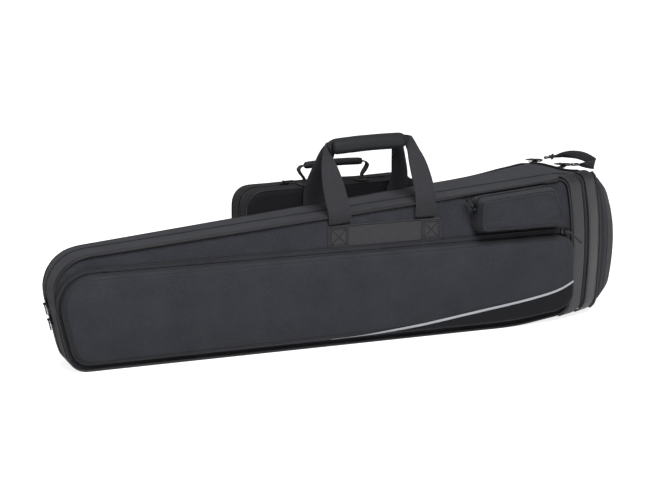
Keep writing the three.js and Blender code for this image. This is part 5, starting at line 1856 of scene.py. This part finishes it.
@dataclass
class Studio:
    """A pale floor and backdrop, soft lamps and the camera at the photograph's angle."""

    azimuth: float = -21.5
    elevation: float = 12.2
    roll: float = -0.148
    lens: float = 98.04
    eye: tuple[float, float, float] = (-1074.11, -2603.21, 762.56)
    reach: float = 14.0
    floor_gap: float = 0.4
    glow: float = 0.84
    fill: float = 0.17
    aim: tuple[float, float, float] = (0.0, 0.0, 0.12)

    def camera(self) -> None:
        """Sets the camera."""
        a, e, r = (math.radians(v) for v in (self.azimuth, self.elevation, self.roll))
        back = Vector((math.sin(a) * math.cos(e), -math.cos(a) * math.cos(e), math.sin(e)))
        right = (-back).cross(Vector((0, 0, 1))).normalized()
        up = right.cross(-back)
        turned = right * math.cos(r) + up * math.sin(r)
        upright = up * math.cos(r) - right * math.sin(r)
        data = bpy.data.cameras.new("camera")
        data.lens = self.lens
        data.sensor_width = 36.0
        data.sensor_fit = "HORIZONTAL"
        data.clip_end = 50.0
        camera = linked("camera", data)
        basis = Matrix((turned, upright, back)).transposed().to_4x4()
        basis.translation = OUTLINE.place(*self.eye)
        camera.matrix_world = basis
        bpy.context.scene.camera = camera

    def floor(self) -> None:
        """Lays the paper floor: white to the camera, glossy and transmission rays, but for shadow."""
        bm = bmesh.new()
        corners = [(-self.reach, -self.reach), (self.reach, -self.reach)]
        corners += [(-x, -y) for x, y in corners]
        bm.faces.new([bm.verts.new((x, y, -self.floor_gap * MM)) for x, y in corners])
        made = object_from(bm, "studio_floor")
        material, tree = blank_material("matt_backdrop_paper")
        rays = add(tree, "ShaderNodeLightPath").outputs
        place = add(tree, "ShaderNodeTexCoord").outputs["Object"]
        fibre = add(tree, NOISE, inputs={"Vector": place, "Scale": 400.0, "Detail": 2.0}).outputs[0]
        relief = {"Strength": 0.05, "Distance": 0.2 * MM, "Height": fibre}
        bump = add(tree, "ShaderNodeBump", inputs=relief).outputs[0]
        paper, shy = (
            add(tree, "ShaderNodeBsdfDiffuse", inputs={"Color": linear(code), "Normal": bump}).outputs[0]
            for code in ("#F4F4F4", "#A0A0A0")
        )
        white = {"Color": (1, 1, 1, 1), "Strength": self.glow}
        glow = add(tree, "ShaderNodeEmission", inputs=white).outputs[0]
        seen = rays["Is Camera Ray"]
        for ray in ("Is Glossy Ray", "Is Transmission Ray"):
            seen = add(tree, MATH, {"operation": "MAXIMUM"}, {0: seen, 1: rays[ray]}).outputs[0]
        both = add(tree, "ShaderNodeAddShader", inputs={0: paper, 1: glow}).outputs[0]
        pick = add(tree, "ShaderNodeMixShader", inputs={0: seen, 1: shy, 2: both}).outputs[0]
        add(tree, "ShaderNodeOutputMaterial", inputs={"Surface": pick})
        made.data.materials.append(material)

    def world(self) -> None:
        """Sets the world: white to camera and transmission rays, a dim even fill to the rest."""
        world = bpy.data.worlds.new("studio")
        bpy.context.scene.world = world
        world.use_nodes = True
        tree = world.node_tree
        tree.nodes.clear()
        rays = add(tree, "ShaderNodeLightPath").outputs
        fill, white = (
            add(tree, "ShaderNodeBackground", inputs={"Color": (1, 1, 1, 1), "Strength": v}).outputs[0]
            for v in (self.fill, 1.0)
        )
        both = {0: rays["Is Camera Ray"], 1: rays["Is Transmission Ray"]}
        seen = add(tree, MATH, {"operation": "MAXIMUM"}, both).outputs[0]
        pick = add(tree, "ShaderNodeMixShader", inputs={0: seen, 1: fill, 2: white}).outputs[0]
        add(tree, "ShaderNodeOutputWorld", inputs={"Surface": pick})

    def lamp(self, name: str, place: tuple[float, float, float], size: float, power: float) -> None:
        """Sets an area lamp aimed at the case.

        Args:
            name: Its name.
            place: Where it is, in metres.
            size: Its side, in metres.
            power: Its power, in watts.
        """
        data = bpy.data.lights.new(name, "AREA")
        data.size = size
        data.energy = power
        way = (Vector(self.aim) - Vector(place)).to_track_quat("-Z", "Y")
        linked(name, data).matrix_world = Matrix.Translation(place) @ way.to_matrix().to_4x4()

    def build(self) -> None:
        """Sets the whole studio."""
        self.camera()
        self.floor()
        self.world()
        self.lamp("key", (-0.3, -2.6, 2.6), 1.6, 100.0)
        self.lamp("side", (-2.6, -1.2, 1.4), 1.6, 3.0)
        self.lamp("top", (0.2, 0.8, 3.0), 2.2, 18.0)
        bpy.context.scene.view_settings.view_transform = "Standard"


def main() -> None:
    """Builds the studio and every sub-assembly, and reports each."""
    logging.basicConfig(level=logging.INFO, format="%(message)s")
    Studio().build()
    for part in (CaseShell, Lid, FrontPocket, Pouch, CarryHandle, MusicBag, HaulStrap, ZipPulls):
        part().build()
        log.info("built %s", part.__name__)


if __name__ == "__main__":
    main()
